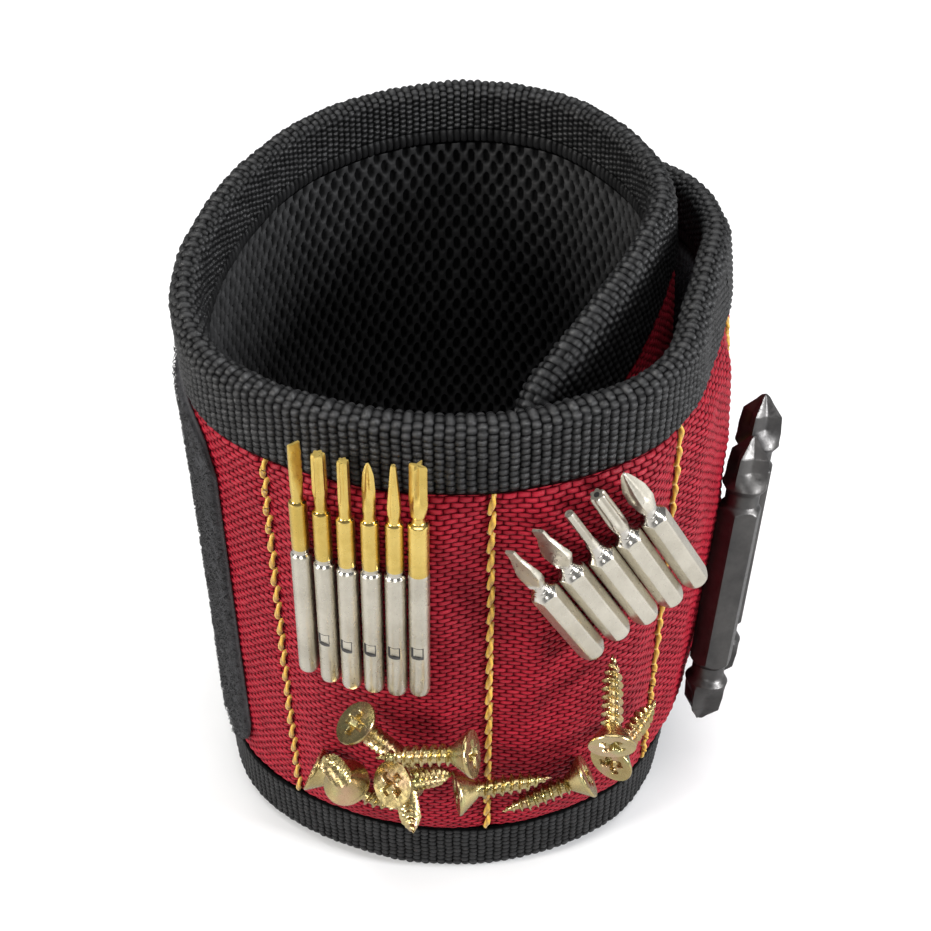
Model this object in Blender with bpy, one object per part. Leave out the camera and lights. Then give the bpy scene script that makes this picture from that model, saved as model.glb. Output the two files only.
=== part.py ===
"""Magnetic tool wristband, rolled into a cuff and standing on its lower edge, holding bits and screws.

Frame: metres, +Z up, origin on the resting plane at the middle of the whole part in plan, front of
the cuff facing -Y. The band is one sewn sandwich: outer cover, magnets, lining, and a tape folded
over every edge. Its mid surface is a spiral in plan, running clockwise as seen from above.

A place on the band is (along, z, offset): the distance along the spiral at half height from the
outer fastening end to the inner end, the height, and the distance from the mid surface, positive
towards the outside. All sizes are in millimetres until add() turns them into metres.
"""

import math
from collections import namedtuple

import bmesh
import bpy
import numpy as np
from mathutils import Matrix, Vector

MM = 0.001

# ---------------------------------------------------------------- driving dimensions
BAND_H = 95.0  # width of the band, which is the height of the cuff
HALF_H = BAND_H / 2
TAPE_H = 11.0  # how far the edge tape reaches down each face
GAP = 0.3  # clearance between neighbouring pieces
HALF_GAP = GAP / 2

# Plan (x, y) of the mid surface along the rims, outer end first.
PLAN_RIM = (
    (19.3, 50.1), (30.8, 37.9), (36.9, 23.8), (38.3, 10.0), (37.8, -2.1), (35.7, -11.6),
    (33.1, -21.1), (30.2, -31.5), (24.3, -39.5), (14.3, -45.2), (3.2, -48.2), (-9.5, -47.7),
    (-20.1, -44.4), (-28.5, -39.9), (-35.9, -32.7), (-40.1, -22.2), (-41.4, -9.5), (-39.9, 4.2),
    (-35.5, 19.0), (-27.4, 33.8), (-14.8, 44.3), (1.1, 48.6), (15.8, 44.0), (25.3, 33.3),
    (30.4, 21.1), (31.2, 9.5), (27.7, -2.1), (22.2, -14.3), (16.0, -26.9), (7.3, -40.5),
)
# The same stations (x, y) at half height, where the padded band bulges.
PLAN_MID = (
    (19.8, 51.3), (31.7, 38.7), (39.0, 23.8), (41.1, 10.0), (41.6, -2.1), (39.7, -12.1),
    (36.1, -21.6), (30.9, -32.5), (24.3, -40.4), (14.3, -46.1), (3.2, -49.2), (-9.5, -48.7),
    (-20.1, -45.4), (-28.9, -40.5), (-36.9, -33.1), (-41.5, -22.2), (-42.9, -9.5), (-41.4, 4.2),
    (-36.7, 19.5), (-28.3, 34.8), (-15.3, 45.4), (1.1, 49.6), (16.4, 45.2), (26.2, 34.1),
    (32.1, 21.1), (33.8, 9.5), (31.7, -2.1), (27.7, -14.3), (20.9, -26.4), (10.6, -38.4),
)
PLAN_CENTRE = (2.9, -7.54)  # the plan point that becomes the origin
CURVE_STEPS = 24  # curve points per plan point
BULGE_POWER = 2.5  # how flat the bulge stays before it draws in to the rim

# Seams across the band, by distance from the outer end. Every one of them folds.
SEAM_TAB, SEAM_RIGHT, SEAM_FRONT, SEAM_LEFT = 66.0, 95.8, 125.9, 156.6
FOLD_BACK_LEFT, FOLD_BACK_RIGHT = 236.0, 319.0

TAB_STAND_OFF = 0.9  # the fastening end rides this much clear of the layers below it
STAND_OFF_FROM, STAND_OFF_FULL = 64.0, 50.0
TAB_TAPER = 13.0  # drop of each edge from the last seam to the tip of the outer end
END_TAPER, END_TAPER_FROM = 5.5, 345.0  # drop of each edge towards the inner end
CORNER_R = 12.0  # rounded corners of both ends

# Layers, as distances from the mid surface.
TAPE_OUT = 2.6
COVER_OUT, CORE = 1.6, 0.7  # far and near faces of the cover and lining, where the tape covers them
PUFF_OUT, PUFF_CORE, PUFF_LINING = 1.5, 0.75, 0.9  # what the magnets add in a pocket
SHEET_INSET = 3.2  # cover and lining stop this far inside the band's edge

# Folded tape, from the outer face round the edge to the inner face:
# (offset, distance in from the band's edge).
TAPE_OUTER_SKIN = (
    (TAPE_OUT, TAPE_H), (TAPE_OUT, 1.6), (1.1, 0.0), (-1.1, 0.0), (-TAPE_OUT, 1.6), (-TAPE_OUT, TAPE_H),
)
TAPE_INNER_SKIN = (
    (1.9, TAPE_H), (1.9, 1.9), (0.9, 0.8), (-0.9, 0.8), (-1.9, 1.9), (-1.9, TAPE_H),
)

# Mesh pitch along the band.
POCKET_PITCH, PANEL_PITCH, END_PITCH = 4.4, 6.0, 6.5
END_TAPE_PITCH, HOOK_PITCH, LOOP_PITCH = 6.2, 7.5, 5.5

# Name: base colour, roughness, metallic.
FINISHES = {
    "nylon_red": ((0.42, 0.012, 0.022, 1), 0.62, 0.0),
    "tape_black": ((0.018, 0.018, 0.020, 1), 0.66, 0.0),
    "mesh_black": ((0.012, 0.012, 0.013, 1), 0.80, 0.0),
    "loop_black": ((0.010, 0.010, 0.012, 1), 0.95, 0.0),
    "magnet": ((0.30, 0.31, 0.32, 1), 0.35, 1.0),
    "nickel": ((0.66, 0.63, 0.58, 1), 0.38, 1.0),
    "titanium_gold": ((0.72, 0.48, 0.16, 1), 0.38, 1.0),
    "gunmetal": ((0.16, 0.155, 0.15, 1), 0.45, 1.0),
    "zinc_yellow": ((0.66, 0.52, 0.24, 1), 0.30, 1.0),
}
del FINISHES["titanium_gold"]
SHARP_ANGLE = math.radians(35)

for old in list(bpy.data.objects):
    bpy.data.objects.remove(old, do_unlink=True)


def material(name):
    found = bpy.data.materials.get(name)
    if found:
        return found
    colour, roughness, metallic = FINISHES[name]
    made = bpy.data.materials.new(name)
    made.use_nodes = True
    shader = made.node_tree.nodes["Principled BSDF"]
    shader.inputs["Base Color"].default_value = colour
    shader.inputs["Roughness"].default_value = roughness
    shader.inputs["Metallic"].default_value = metallic
    made.diffuse_color = colour
    return made


def add(name, bm, finish):
    """Turns a bmesh in millimetres into an object in metres with its normals facing out."""
    bmesh.ops.recalc_face_normals(bm, faces=bm.faces)
    if bm.calc_volume(signed=True) < 0:
        bmesh.ops.reverse_faces(bm, faces=bm.faces)
    bmesh.ops.triangulate(bm, faces=bm.faces, quad_method="SHORT_EDGE")
    for vert in bm.verts:
        vert.co *= MM
    mesh = bpy.data.meshes.new(name)
    bm.to_mesh(mesh)
    bm.free()
    mesh.materials.append(material(finish))
    mesh.shade_smooth()
    mesh.set_sharp_from_angle(angle=SHARP_ANGLE)
    bpy.context.scene.collection.objects.link(bpy.data.objects.new(name, mesh))


# ---------------------------------------------------------------- the spiral
def ease(value, start, end):
    """Rises smoothly from 0 at start to 1 at end. The end may lie below the start."""
    share = np.clip((value - start) / (end - start), 0, 1)
    return share * share * (3 - 2 * share)


def smooth_curve(points):
    """A Catmull-Rom curve through the plan points."""
    p = np.array(points, float)
    p = np.vstack([2 * p[0] - p[1], p, 2 * p[-1] - p[-2]])
    u = np.linspace(0, 1, CURVE_STEPS, endpoint=False)[:, None]
    spans = []
    for a, b, c, d in zip(p[:-3], p[1:-2], p[2:-1], p[3:]):
        square = (2 * a - 5 * b + 4 * c - d) * u**2
        cube = (3 * b - a - 3 * c + d) * u**3
        spans.append(0.5 * (2 * b + (c - a) * u + square + cube))
    return np.vstack(spans + [p[-2:-1]])


RIM_CURVE = smooth_curve(PLAN_RIM) - PLAN_CENTRE
MID_CURVE = smooth_curve(PLAN_MID) - PLAN_CENTRE
STEP_LENGTHS = np.linalg.norm(np.diff(MID_CURVE, axis=0), axis=1)
CURVE_ALONG = np.concatenate([[0.0], np.cumsum(STEP_LENGTHS)])
BAND_END = float(CURVE_ALONG[-1])


def plan(along, z):
    """Plan position of the mid surface."""
    mid, rim = (
        np.stack([np.interp(along, CURVE_ALONG, curve[:, axis]) for axis in (0, 1)], -1)
        for curve in (MID_CURVE, RIM_CURVE)
    )
    rim_share = (np.abs(z - HALF_H) / HALF_H) ** BULGE_POWER
    return mid + (rim - mid) * rim_share[..., None]


def at(along, z, offset=0.0):
    """Points (x, y, z) of places on the band."""
    along, z, offset = np.broadcast_arrays(
        np.asarray(along, float), np.asarray(z, float), np.asarray(offset, float)
    )
    heading = plan(along + 0.8, z) - plan(along - 0.8, z)
    heading = heading / np.linalg.norm(heading, axis=-1)[..., None]
    outward = np.stack([-heading[..., 1], heading[..., 0]], -1)
    offset = offset + TAB_STAND_OFF * ease(along, STAND_OFF_FROM, STAND_OFF_FULL)
    return np.concatenate([plan(along, z) + outward * offset[..., None], z[..., None]], -1)


def local_axes(along, z):
    """Unit vectors on the band: right as seen from outside, up along the face, and out."""
    up = Vector(at(along, z + 4) - at(along, z - 4)).normalized()
    right = Vector(at(along - 1, z) - at(along + 1, z))
    right = (right - up * right.dot(up)).normalized()
    return right, up, right.cross(up).normalized()


# ---------------------------------------------------------------- outline of the band
def edge_drop(along):
    """How far the top edge lies below full height, and the bottom edge above the floor."""
    along = np.asarray(along, float)
    tab = TAB_TAPER * np.clip((SEAM_TAB - along) / SEAM_TAB, 0, 1)
    end = END_TAPER * np.clip((along - END_TAPER_FROM) / (BAND_END - END_TAPER_FROM), 0, 1)
    return tab + end


def sheet_low(along):
    """Lowest z of cover or lining, with both ends' corners rounded. The top edge mirrors it."""
    low = edge_drop(along) + SHEET_INSET
    radius = CORNER_R - SHEET_INSET
    for tip in (0.0, BAND_END):
        near = np.clip(1 - (np.abs(along - tip) - SHEET_INSET) / radius, 0, 1)
        low = low + radius * (1 - np.sqrt(np.clip(1 - near**2, 0, 1)))
    return low


def pocket_puff(along, z, start, end):
    """1 over the magnets of the pocket between two seams, 0 at its seams and under the tape."""
    flat, full = 1.2, 6.5  # from a seam
    across = ease(along, start + flat, start + full) * ease(along, end - flat, end - full)
    flat, full = TAPE_H + 0.3, TAPE_H + 5.5  # from the top or bottom edge
    return across * (ease(z, flat, full) * ease(z, BAND_H - flat, BAND_H - full))


def stations(start, end, pitch, extra=()):
    """Even stations about a pitch apart, plus the extra ones that aren't crowded."""
    count = max(2, int(round((end - start) / pitch)) + 1)
    found = set(np.round(np.linspace(start, end, count), 3))
    for place in extra:
        if start < place < end and min(abs(place - other) for other in found) > 0.8:
            found.add(place)
    return np.array(sorted(found))


def end_stations(start, end, pitch):
    """Stations that crowd into the rounded corners of the ends."""
    steps = (0.0, 0.6, 1.8, 3.8, 6.5, 10.0)
    extra = [SHEET_INSET + step for step in steps]
    extra += [BAND_END - (SHEET_INSET + step) for step in steps]
    return stations(start, end, pitch, extra)


def sheet_heights(along, in_pocket):
    """Rows of z up a sheet. The second from either edge lies just inside the tape."""
    low = sheet_low(along)
    inner = np.maximum(low + 1.0, edge_drop(along) + TAPE_H + 0.2)
    rows = [low, inner]
    if in_pocket:
        rows += [inner + 2.6, inner + 5.6]
    first, last = rows[-1], BAND_H - rows[-1]
    middle = [first + (last - first) * i / 5 for i in range(1, 5)]
    return np.stack(rows + middle + [BAND_H - row for row in reversed(rows)], 1)


# ---------------------------------------------------------------- band pieces
def thick_sheet(name, outer, inner, finish):
    """A closed solid between two grids of points of the same shape."""
    rows, columns = outer.shape[:2]
    bm = bmesh.new()
    a, b = ([[bm.verts.new(point) for point in row] for row in grid] for grid in (outer, inner))
    last = columns - 1
    for i in range(rows - 1):
        for j in range(last):
            bm.faces.new((a[i][j], a[i + 1][j], a[i + 1][j + 1], a[i][j + 1]))
            bm.faces.new((b[i][j], b[i][j + 1], b[i + 1][j + 1], b[i + 1][j]))
        bm.faces.new((a[i][0], b[i][0], b[i + 1][0], a[i + 1][0]))
        bm.faces.new((a[i][last], a[i + 1][last], b[i + 1][last], b[i][last]))
    for j in range(last):
        bm.faces.new((a[0][j], a[0][j + 1], b[0][j + 1], b[0][j]))
        bm.faces.new((a[-1][j], b[-1][j], b[-1][j + 1], a[-1][j + 1]))
    add(name, bm, finish)


def sheet_grid(start, end, pitch, in_pocket):
    """Grids of along, z and puff for a cover or lining."""
    along = end_stations(start, end, pitch)
    z = sheet_heights(along, in_pocket)
    along = np.repeat(along[:, None], z.shape[1], 1)
    if in_pocket:
        return along, z, pocket_puff(along, z, start - HALF_GAP, end + HALF_GAP)
    return along, z, np.zeros_like(z)


def cover(name, start, end, pitch, in_pocket=False):
    along, z, puff = sheet_grid(start, end, pitch, in_pocket)
    outer = at(along, z, COVER_OUT + PUFF_OUT * puff)
    thick_sheet(name, outer, at(along, z, CORE + PUFF_CORE * puff), "nylon_red")


def lining(name, start, end, pitch, in_pocket=False):
    along, z, puff = sheet_grid(start, end, pitch, in_pocket)
    inner = at(along, z, -COVER_OUT - PUFF_LINING * puff)
    thick_sheet(name, at(along, z, -CORE - PUFF_CORE * puff), inner, "mesh_black")


def tape(name, path, inward):
    """Folded tape along an edge path. Both arrays have (along, z) rows; inward is into the band."""

    def skin(section):
        offset, depth = np.array(section).T[:, None, :]
        along = path[:, :1] + inward[:, :1] * depth
        return at(along, path[:, 1:] + inward[:, 1:] * depth, offset)

    thick_sheet(name, skin(TAPE_OUTER_SKIN), skin(TAPE_INNER_SKIN), "tape_black")


def tape_straight(name, start, end, pitch, edge_z, inward_z):
    along = stations(start, end, pitch)
    path = np.stack([along, np.full_like(along, edge_z)], 1)
    tape(name, path, np.stack([np.zeros_like(along), np.full_like(along, inward_z)], 1))


def tape_round_end(name, seam, tip):
    """Tape along the top edge, round the end and back along the bottom edge, as one piece."""
    side = 1.0 if tip > seam else -1.0
    corner = tip - side * CORNER_R
    run = stations(min(seam, corner), max(seam, corner), END_TAPE_PITCH)
    if side < 0:
        run = run[::-1]
    upper = [(along, BAND_H - float(edge_drop(along))) for along in run]
    top = upper[-1][1]
    for i in range(1, 6):
        turn = math.pi / 2 * i / 5
        drop = CORNER_R * (1 - math.cos(turn))
        upper.append((corner + side * CORNER_R * math.sin(turn), top - drop))
    upper += [(tip, z) for z in np.linspace(upper[-1][1], HALF_H, 5)[1:-1]]
    lower = [(along, BAND_H - z) for along, z in reversed(upper)]
    path = np.array(upper + [(tip, HALF_H)] + lower)
    heading = np.gradient(path, axis=0)
    heading /= np.linalg.norm(heading, axis=1)[:, None]
    inward = side * np.stack([heading[:, 1], -heading[:, 0]], 1)
    # Square to the seam where the tape meets its neighbours.
    inward[0] = (0.0, -1.0)
    inward[-1] = (0.0, 1.0)
    tape(name, path, inward)


def frame(x_axis, y_axis, z_axis, origin):
    made = Matrix((x_axis, y_axis, z_axis)).transposed().to_4x4()
    made.translation = origin
    return made


MAGNET_W, MAGNET_H, MAGNET_T = 16.0, 18.0, 1.2
MAGNET_OFFSET = -0.32  # sets the flat plate across the chord of its curved pocket
MAGNET_ROWS = {"lower": 25.8, "middle": 47.5, "upper": 69.2}


def magnet(name, along, z):
    """A flat plate with eased corners."""
    bm = bmesh.new()
    bmesh.ops.create_cube(bm, size=1.0)
    bmesh.ops.scale(bm, vec=(MAGNET_W, MAGNET_H, MAGNET_T), verts=bm.verts)
    corners = [
        edge for edge in bm.edges
        if abs(edge.verts[0].co.z - edge.verts[1].co.z) > MAGNET_T / 2
    ]
    bmesh.ops.bevel(bm, geom=corners, offset=1.2, segments=2, affect="EDGES", profile=0.5)
    placed = frame(*local_axes(along, z), Vector(at(along, z, MAGNET_OFFSET)))
    bmesh.ops.transform(bm, matrix=placed, verts=bm.verts)
    add(name, bm, "magnet")


HOOK_OUT = 2.9  # the hook patch's far face inside the tape


def hook_patch():
    """Hook sheet that lines the fastening end: thin under the tape, full thickness inside it."""
    tip_thin, tip_full = 11.6, 12.4
    seam_thin, seam_full = SEAM_TAB - 2.2, SEAM_TAB - 3.0
    along = end_stations(SHEET_INSET, SEAM_TAB - HALF_GAP, HOOK_PITCH)
    along = np.array(sorted(set(along) | {tip_thin, tip_full, seam_thin, seam_full}))
    low = sheet_low(along)
    inner_low = np.maximum(low + 0.6, edge_drop(along) + TAPE_H + 0.4)
    inner_high = BAND_H - inner_low
    rows = [low, inner_low - 0.2, inner_low + 0.4]
    rows += [inner_low + 0.4 + (inner_high - inner_low - 0.8) * i / 4 for i in (1, 2, 3)]
    rows += [inner_high - 0.4, inner_high + 0.2, BAND_H - low]
    z = np.stack(rows, 1)
    thick = np.zeros_like(z)
    thick_here = ease(along, tip_thin, tip_full) * ease(along, seam_thin, seam_full)
    thick[:, 2:-2] = thick_here[:, None]
    along = np.repeat(along[:, None], z.shape[1], 1)
    inner = at(along, z, -COVER_OUT - (HOOK_OUT - COVER_OUT) * thick)
    thick_sheet("fastening_end_hook_patch", at(along, z, -CORE), inner, "loop_black")


# The long loop pile patch on the outside, in two pieces that part at the back left fold.
LOOP_FROM, LOOP_TO, LOOP_LOW, LOOP_HIGH = 166.0, 311.0, 12.2, 82.8
LOOP_R = 8.0
LOOP_IN, LOOP_OUT = 1.95, 3.5
LOOP_FOLD_GAP = 0.4  # on each side of the fold
LOOP_ROWS = 8


def loop_patch(name, start, end):
    steps = (0.4, 1.4, 3.0, 5.2)  # crowd into the rounded corners
    extra = [LOOP_FROM + step for step in steps] + [LOOP_TO - step for step in steps]
    along = stations(start, end, LOOP_PITCH, extra)
    near = np.maximum(
        np.clip(1 - (along - LOOP_FROM) / LOOP_R, 0, 1),
        np.clip(1 - (LOOP_TO - along) / LOOP_R, 0, 1),
    )
    cut = LOOP_R * (1 - np.sqrt(np.clip(1 - near**2, 0, 1)))
    height = LOOP_HIGH - LOOP_LOW - 2 * cut
    z = (LOOP_LOW + cut)[:, None] + height[:, None] * np.linspace(0, 1, LOOP_ROWS)[None, :]
    along = np.repeat(along[:, None], LOOP_ROWS, 1)
    thick_sheet(name, at(along, z, LOOP_OUT), at(along, z, LOOP_IN), "loop_black")


# Name, seam at either side.
POCKETS = (
    ("right", SEAM_TAB, SEAM_RIGHT),
    ("centre", SEAM_RIGHT, SEAM_FRONT),
    ("left", SEAM_FRONT, SEAM_LEFT),
)
PLAIN_PANELS = (
    ("side_left", SEAM_LEFT, FOLD_BACK_LEFT),
    ("back", FOLD_BACK_LEFT, FOLD_BACK_RIGHT),
)


def panel(name, seam_before, seam_after, pitch, in_pocket):
    span = (seam_before + HALF_GAP, seam_after - HALF_GAP, pitch)
    cover(name + "_cover", *span, in_pocket)
    lining(name + "_lining", *span, in_pocket)
    tape_straight(name + "_top_binding", *span, edge_z=BAND_H, inward_z=-1.0)
    tape_straight(name + "_bottom_binding", *span, edge_z=0.0, inward_z=1.0)


def fastening_end():
    seam = SEAM_TAB - HALF_GAP
    cover("fastening_end_cover", SHEET_INSET, seam, END_PITCH)
    tape_round_end("fastening_end_binding", seam, 0.0)
    hook_patch()


def inner_end():
    seam = FOLD_BACK_RIGHT + HALF_GAP
    cover("inner_end_cover", seam, BAND_END - SHEET_INSET, END_PITCH)
    lining("inner_end_lining", seam, BAND_END - SHEET_INSET, END_PITCH)
    tape_round_end("inner_end_binding", seam, BAND_END)


for label, before, after in POCKETS:
    panel("pocket_" + label, before, after, POCKET_PITCH, in_pocket=True)
    for row, row_z in MAGNET_ROWS.items():
        magnet(f"magnet_{label}_{row}", (before + after) / 2, row_z)
for label, before, after in PLAIN_PANELS:
    panel(label, before, after, PANEL_PITCH, in_pocket=False)
fastening_end()
inner_end()
loop_patch("side_left_loop_patch", LOOP_FROM, FOLD_BACK_LEFT - LOOP_FOLD_GAP)
loop_patch("back_loop_patch", FOLD_BACK_LEFT + LOOP_FOLD_GAP, LOOP_TO)


# ---------------------------------------------------------------- lofted tools
BIT_SIDES = 12  # points in every section of a bit


def frame_from(axis, hint, origin):
    """A frame whose z runs along the unit axis and whose x is as near hint as it can be."""
    z = axis.normalized()
    x = (hint - z * hint.dot(z)).normalized()
    return frame(x, z.cross(x), z, origin)


def loft(name, sections, placed, finish):
    """A closed solid through sections, each a height and a list of (x, y), all of one count."""
    bm = bmesh.new()
    rings = [
        [bm.verts.new(placed @ Vector((x, y, height))) for x, y in outline]
        for height, outline in sections
    ]
    count = len(rings[0])
    for a, b in zip(rings, rings[1:]):
        for i in range(count):
            after = (i + 1) % count
            bm.faces.new((a[i], a[after], b[after], b[i]))
    bm.faces.new(list(reversed(rings[0])))
    bm.faces.new(rings[-1])
    add(name, bm, finish)


def sized(shares, length, radius):
    """Sections in millimetres from sections in shares of the length and radius."""
    return [
        (length * height, [(radius * x, radius * y) for x, y in outline])
        for height, outline in shares
    ]


def polar(radii):
    """Points at even angles, one for each radius."""
    turns = [2 * math.pi * i / len(radii) for i in range(len(radii))]
    return [(r * math.cos(turn), r * math.sin(turn)) for r, turn in zip(radii, turns)]


def ring(radius, sides=BIT_SIDES, flat=1.0):
    """A circle, squashed in y by flat."""
    return [(x, flat * y) for x, y in polar([radius] * sides)]


def hexagon(radius):
    """A hexagon of corner radius, every second point in the middle of a side."""
    return polar([radius, radius * math.cos(math.pi / 6)] * (BIT_SIDES // 2))


def star(crest, valley, points):
    """Alternating crests and valleys, as on a cross or lobed tip."""
    waves = [0.5 + 0.5 * math.cos(points * (2 * math.pi * i / BIT_SIDES)) for i in range(BIT_SIDES)]
    return polar([valley + (crest - valley) * wave for wave in waves])


FOOT_EASE = 0.7  # length of the eased foot of fine and hexagon bits

# ---------------------------------------------------------------- fine bits on the left pocket
FINE_BIT_L, FINE_BIT_R = 43.0, 1.42
FINE_TIP_OFFSET, FINE_FOOT_OFFSET = 5.9, 5.2

# Sections: share of the length, outline in shares of the radius.
FINE_BODY = (
    (0.0, ring(0.62)), (FOOT_EASE / FINE_BIT_L, ring(1.0)), (0.545, ring(1.0)),
    (0.56, ring(0.86)), (0.77, ring(0.86)), (0.785, ring(0.6)),
)
FINE_TIPS = {
    "blade": ((0.80, ring(0.6)), (0.995, ring(0.55, flat=0.45))),
    "cross": (
        (0.80, ring(0.6)), (0.93, star(0.66, 0.36, 4)), (0.97, star(0.6, 0.3, 4)), (1.0, ring(0.2)),
    ),
    "three_lobe": ((0.80, ring(0.62)), (0.88, star(0.95, 0.36, 3)), (1.0, star(0.95, 0.3, 3))),
    "taper": (
        (0.82, star(0.66, 0.5, 6)), (0.87, star(0.66, 0.45, 6)), (0.98, star(0.34, 0.24, 6)),
        (1.0, ring(0.25)),
    ),
    "six_lobe": ((0.82, ring(0.62)), (0.90, star(0.72, 0.48, 6)), (0.995, star(0.66, 0.42, 6))),
}
# Tip (along, z), foot (along, z), kind of tip.
FINE_BITS = (
    ((149.9, 92.0), (150.9, 49.3), "blade"),
    ((146.6, 91.6), (147.6, 48.6), "six_lobe"),
    ((143.5, 91.5), (144.5, 48.4), "six_lobe"),
    ((140.6, 91.7), (141.4, 48.7), "cross"),
    ((137.7, 91.7), (138.4, 48.8), "taper"),
    ((134.8, 92.0), (135.4, 49.1), "three_lobe"),
)


def fine_bit(name, tip_place, foot_place, kind):
    tip = Vector(at(*tip_place, FINE_TIP_OFFSET))
    foot = Vector(at(*foot_place, FINE_FOOT_OFFSET))
    out = local_axes(foot_place[0], foot_place[1] + 20)[2]
    sections = sized(FINE_BODY + FINE_TIPS[kind], FINE_BIT_L, FINE_BIT_R)
    loft(name, sections, frame_from((tip - foot).normalized(), out, foot), "nickel")


for number, spec in enumerate(FINE_BITS, 1):
    fine_bit(f"fine_bit_{number}", *spec)

# ---------------------------------------------------------------- hexagon bits on the centre pocket
HEX_BIT_L, HEX_BIT_R = 28.5, 2.2
HEX_ROW_AT = (112.0, 68.0, 5.75)  # along, z, offset
HEX_ROW_LEAN = math.radians(-29.6)  # from upright, negative to the left as seen from outside

# Sections: share of the length, outline in shares of the radius.
HEX_BODY = (
    (0.0, ring(0.76)), (FOOT_EASE / HEX_BIT_L, hexagon(1.0)), (0.60, hexagon(1.0)),
    (0.66, ring(0.55)),
)
HEX_TIPS = {
    "blade": ((0.78, ring(0.62, flat=0.42)), (0.92, ring(0.34, flat=0.4)), (1.0, ring(0.3, flat=0.35))),
    "rod": ((0.72, ring(0.40)), (1.0, hexagon(0.30))),
    "six_lobe": ((0.70, ring(0.5)), (0.76, star(0.62, 0.44, 6)), (1.0, star(0.56, 0.38, 6))),
    "cross": (
        (0.70, ring(0.5)), (0.84, star(0.72, 0.36, 4)), (0.95, star(0.62, 0.28, 4)),
        (1.0, star(0.26, 0.16, 4)),
    ),
}
# Middle of the bit right of and above the row's place, kind of tip.
HEX_BITS = (
    (-7.5, -1.6, "blade"),
    (-3.4, 0.6, "blade"),
    (1.2, 1.9, "rod"),
    (5.3, 3.7, "six_lobe"),
    (9.2, 6.0, "cross"),
)


def hex_bit(name, rightward, upward, kind):
    """A hexagon shank with a turned neck and a tip. The whole row lies in one plane."""
    right, up, out = local_axes(*HEX_ROW_AT[:2])
    middle = Vector(at(*HEX_ROW_AT)) + right * rightward + up * upward
    axis = right * math.sin(HEX_ROW_LEAN) + up * math.cos(HEX_ROW_LEAN)
    foot = middle - axis * (HEX_BIT_L / 2)
    sections = sized(HEX_BODY + HEX_TIPS[kind], HEX_BIT_L, HEX_BIT_R)
    loft(name, sections, frame_from(axis, axis.cross(out), foot), "nickel")


for number, spec in enumerate(HEX_BITS, 1):
    hex_bit(f"hex_bit_{number}", *spec)

# ---------------------------------------------------------------- double bits on the right pocket
DOUBLE_BIT_L, DOUBLE_BIT_R = 58.5, 3.1

# Sections from the middle to one end: share of the length, outline in shares of the radius.
DOUBLE_HALF = (
    (0.26, hexagon(1.0)), (0.285, ring(0.72)), (0.32, ring(0.72)), (0.345, ring(0.92)),
    (0.385, star(0.98, 0.52, 4)), (0.44, star(0.95, 0.45, 4)), (0.485, star(0.42, 0.24, 4)),
    (0.5, ring(0.14)),
)
DOUBLE_SECTIONS = tuple((-height, outline) for height, outline in reversed(DOUBLE_HALF)) + DOUBLE_HALF
# Top and foot (along, z, offset).
DOUBLE_BITS = {
    "front": ((70.8, 65.6, 8.6), (84.4, 11.4, 8.9)),
    "rear": ((63.2, 67.0, 8.8), (76.0, 12.4, 8.7)),
}


def double_bit(name, top_place, foot_place):
    top, foot = Vector(at(*top_place)), Vector(at(*foot_place))
    axis = (top - foot).normalized()
    mid_along, mid_z = ((top_place[i] + foot_place[i]) / 2 for i in (0, 1))
    out = local_axes(mid_along, mid_z)[2]
    sections = sized(DOUBLE_SECTIONS, DOUBLE_BIT_L, DOUBLE_BIT_R)
    loft(name, sections, frame_from(axis, axis.cross(out), (top + foot) / 2), "gunmetal")


for label, spec in DOUBLE_BITS.items():
    double_bit("double_bit_" + label, *spec)

# ---------------------------------------------------------------- countersunk screws in two heaps
SCREW_L, HEAD_R, THREAD_R, THREAD_CORE_R = 15.0, 3.5, 1.75, 1.2
THREAD_FROM, THREAD_PITCH = 3.95, 1.7
SCREW_POINT_L, SCREW_POINT_R = 2.6, 0.18
SCREW_SIDES = 9

# Middle of the head (along, z, offset), shares of right, up and out towards the point.
SCREWS = {
    "left": (
        ((150.8, 27.9, 7.2), (0.92, -0.37, -0.13)),
        ((143.5, 34.8, 12.6), (-0.02, 0.90, 0.42)),
        ((143.1, 44.6, 9.0), (0.50, -0.82, -0.26)),
        ((128.6, 45.3, 13.4), (-0.94, -0.26, -0.20)),
        ((138.1, 37.6, 13.5), (0.50, -0.56, -0.66)),
        ((130.6, 29.3, 8.0), (0.95, 0.0, -0.20)),
        ((138.0, 28.2, 5.6), (0.26, 0.39, 0.88)),
    ),
    "right": (
        ((112.4, 26.4, 7.2), (-0.83, -0.42, -0.24)),
        ((114.3, 45.5, 17.0), (0.43, 0.26, -0.86)),
        ((111.7, 34.4, 12.0), (0.85, 0.0, -0.53)),
    ),
}


def screw_sections():
    """Head, a stack of thread ridges, and the point."""
    profile = [
        (0.0, HEAD_R * 0.97), (0.15, HEAD_R), (0.5, HEAD_R),
        (2.9, THREAD_R * 0.86), (3.5, THREAD_CORE_R),
    ]
    height = THREAD_FROM
    while height < SCREW_L - SCREW_POINT_L:
        profile += [(height, THREAD_R), (height + THREAD_PITCH / 2, THREAD_CORE_R)]
        height += THREAD_PITCH
    profile.append((SCREW_L, SCREW_POINT_R))
    return [(height, ring(radius, SCREW_SIDES)) for height, radius in profile]


def screw(name, head_place, shares):
    right, up, out = local_axes(*head_place[:2])
    axis = (right * shares[0] + up * shares[1] + out * shares[2]).normalized()
    hint = up if abs(axis.dot(up)) < 0.8 else right
    placed = frame_from(axis, hint, Vector(at(*head_place)))
    loft(name, screw_sections(), placed, "zinc_yellow")


for heap, specs in SCREWS.items():
    for number, spec in enumerate(specs, 1):
        screw(f"screw_{heap}_{number}", *spec)

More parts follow.
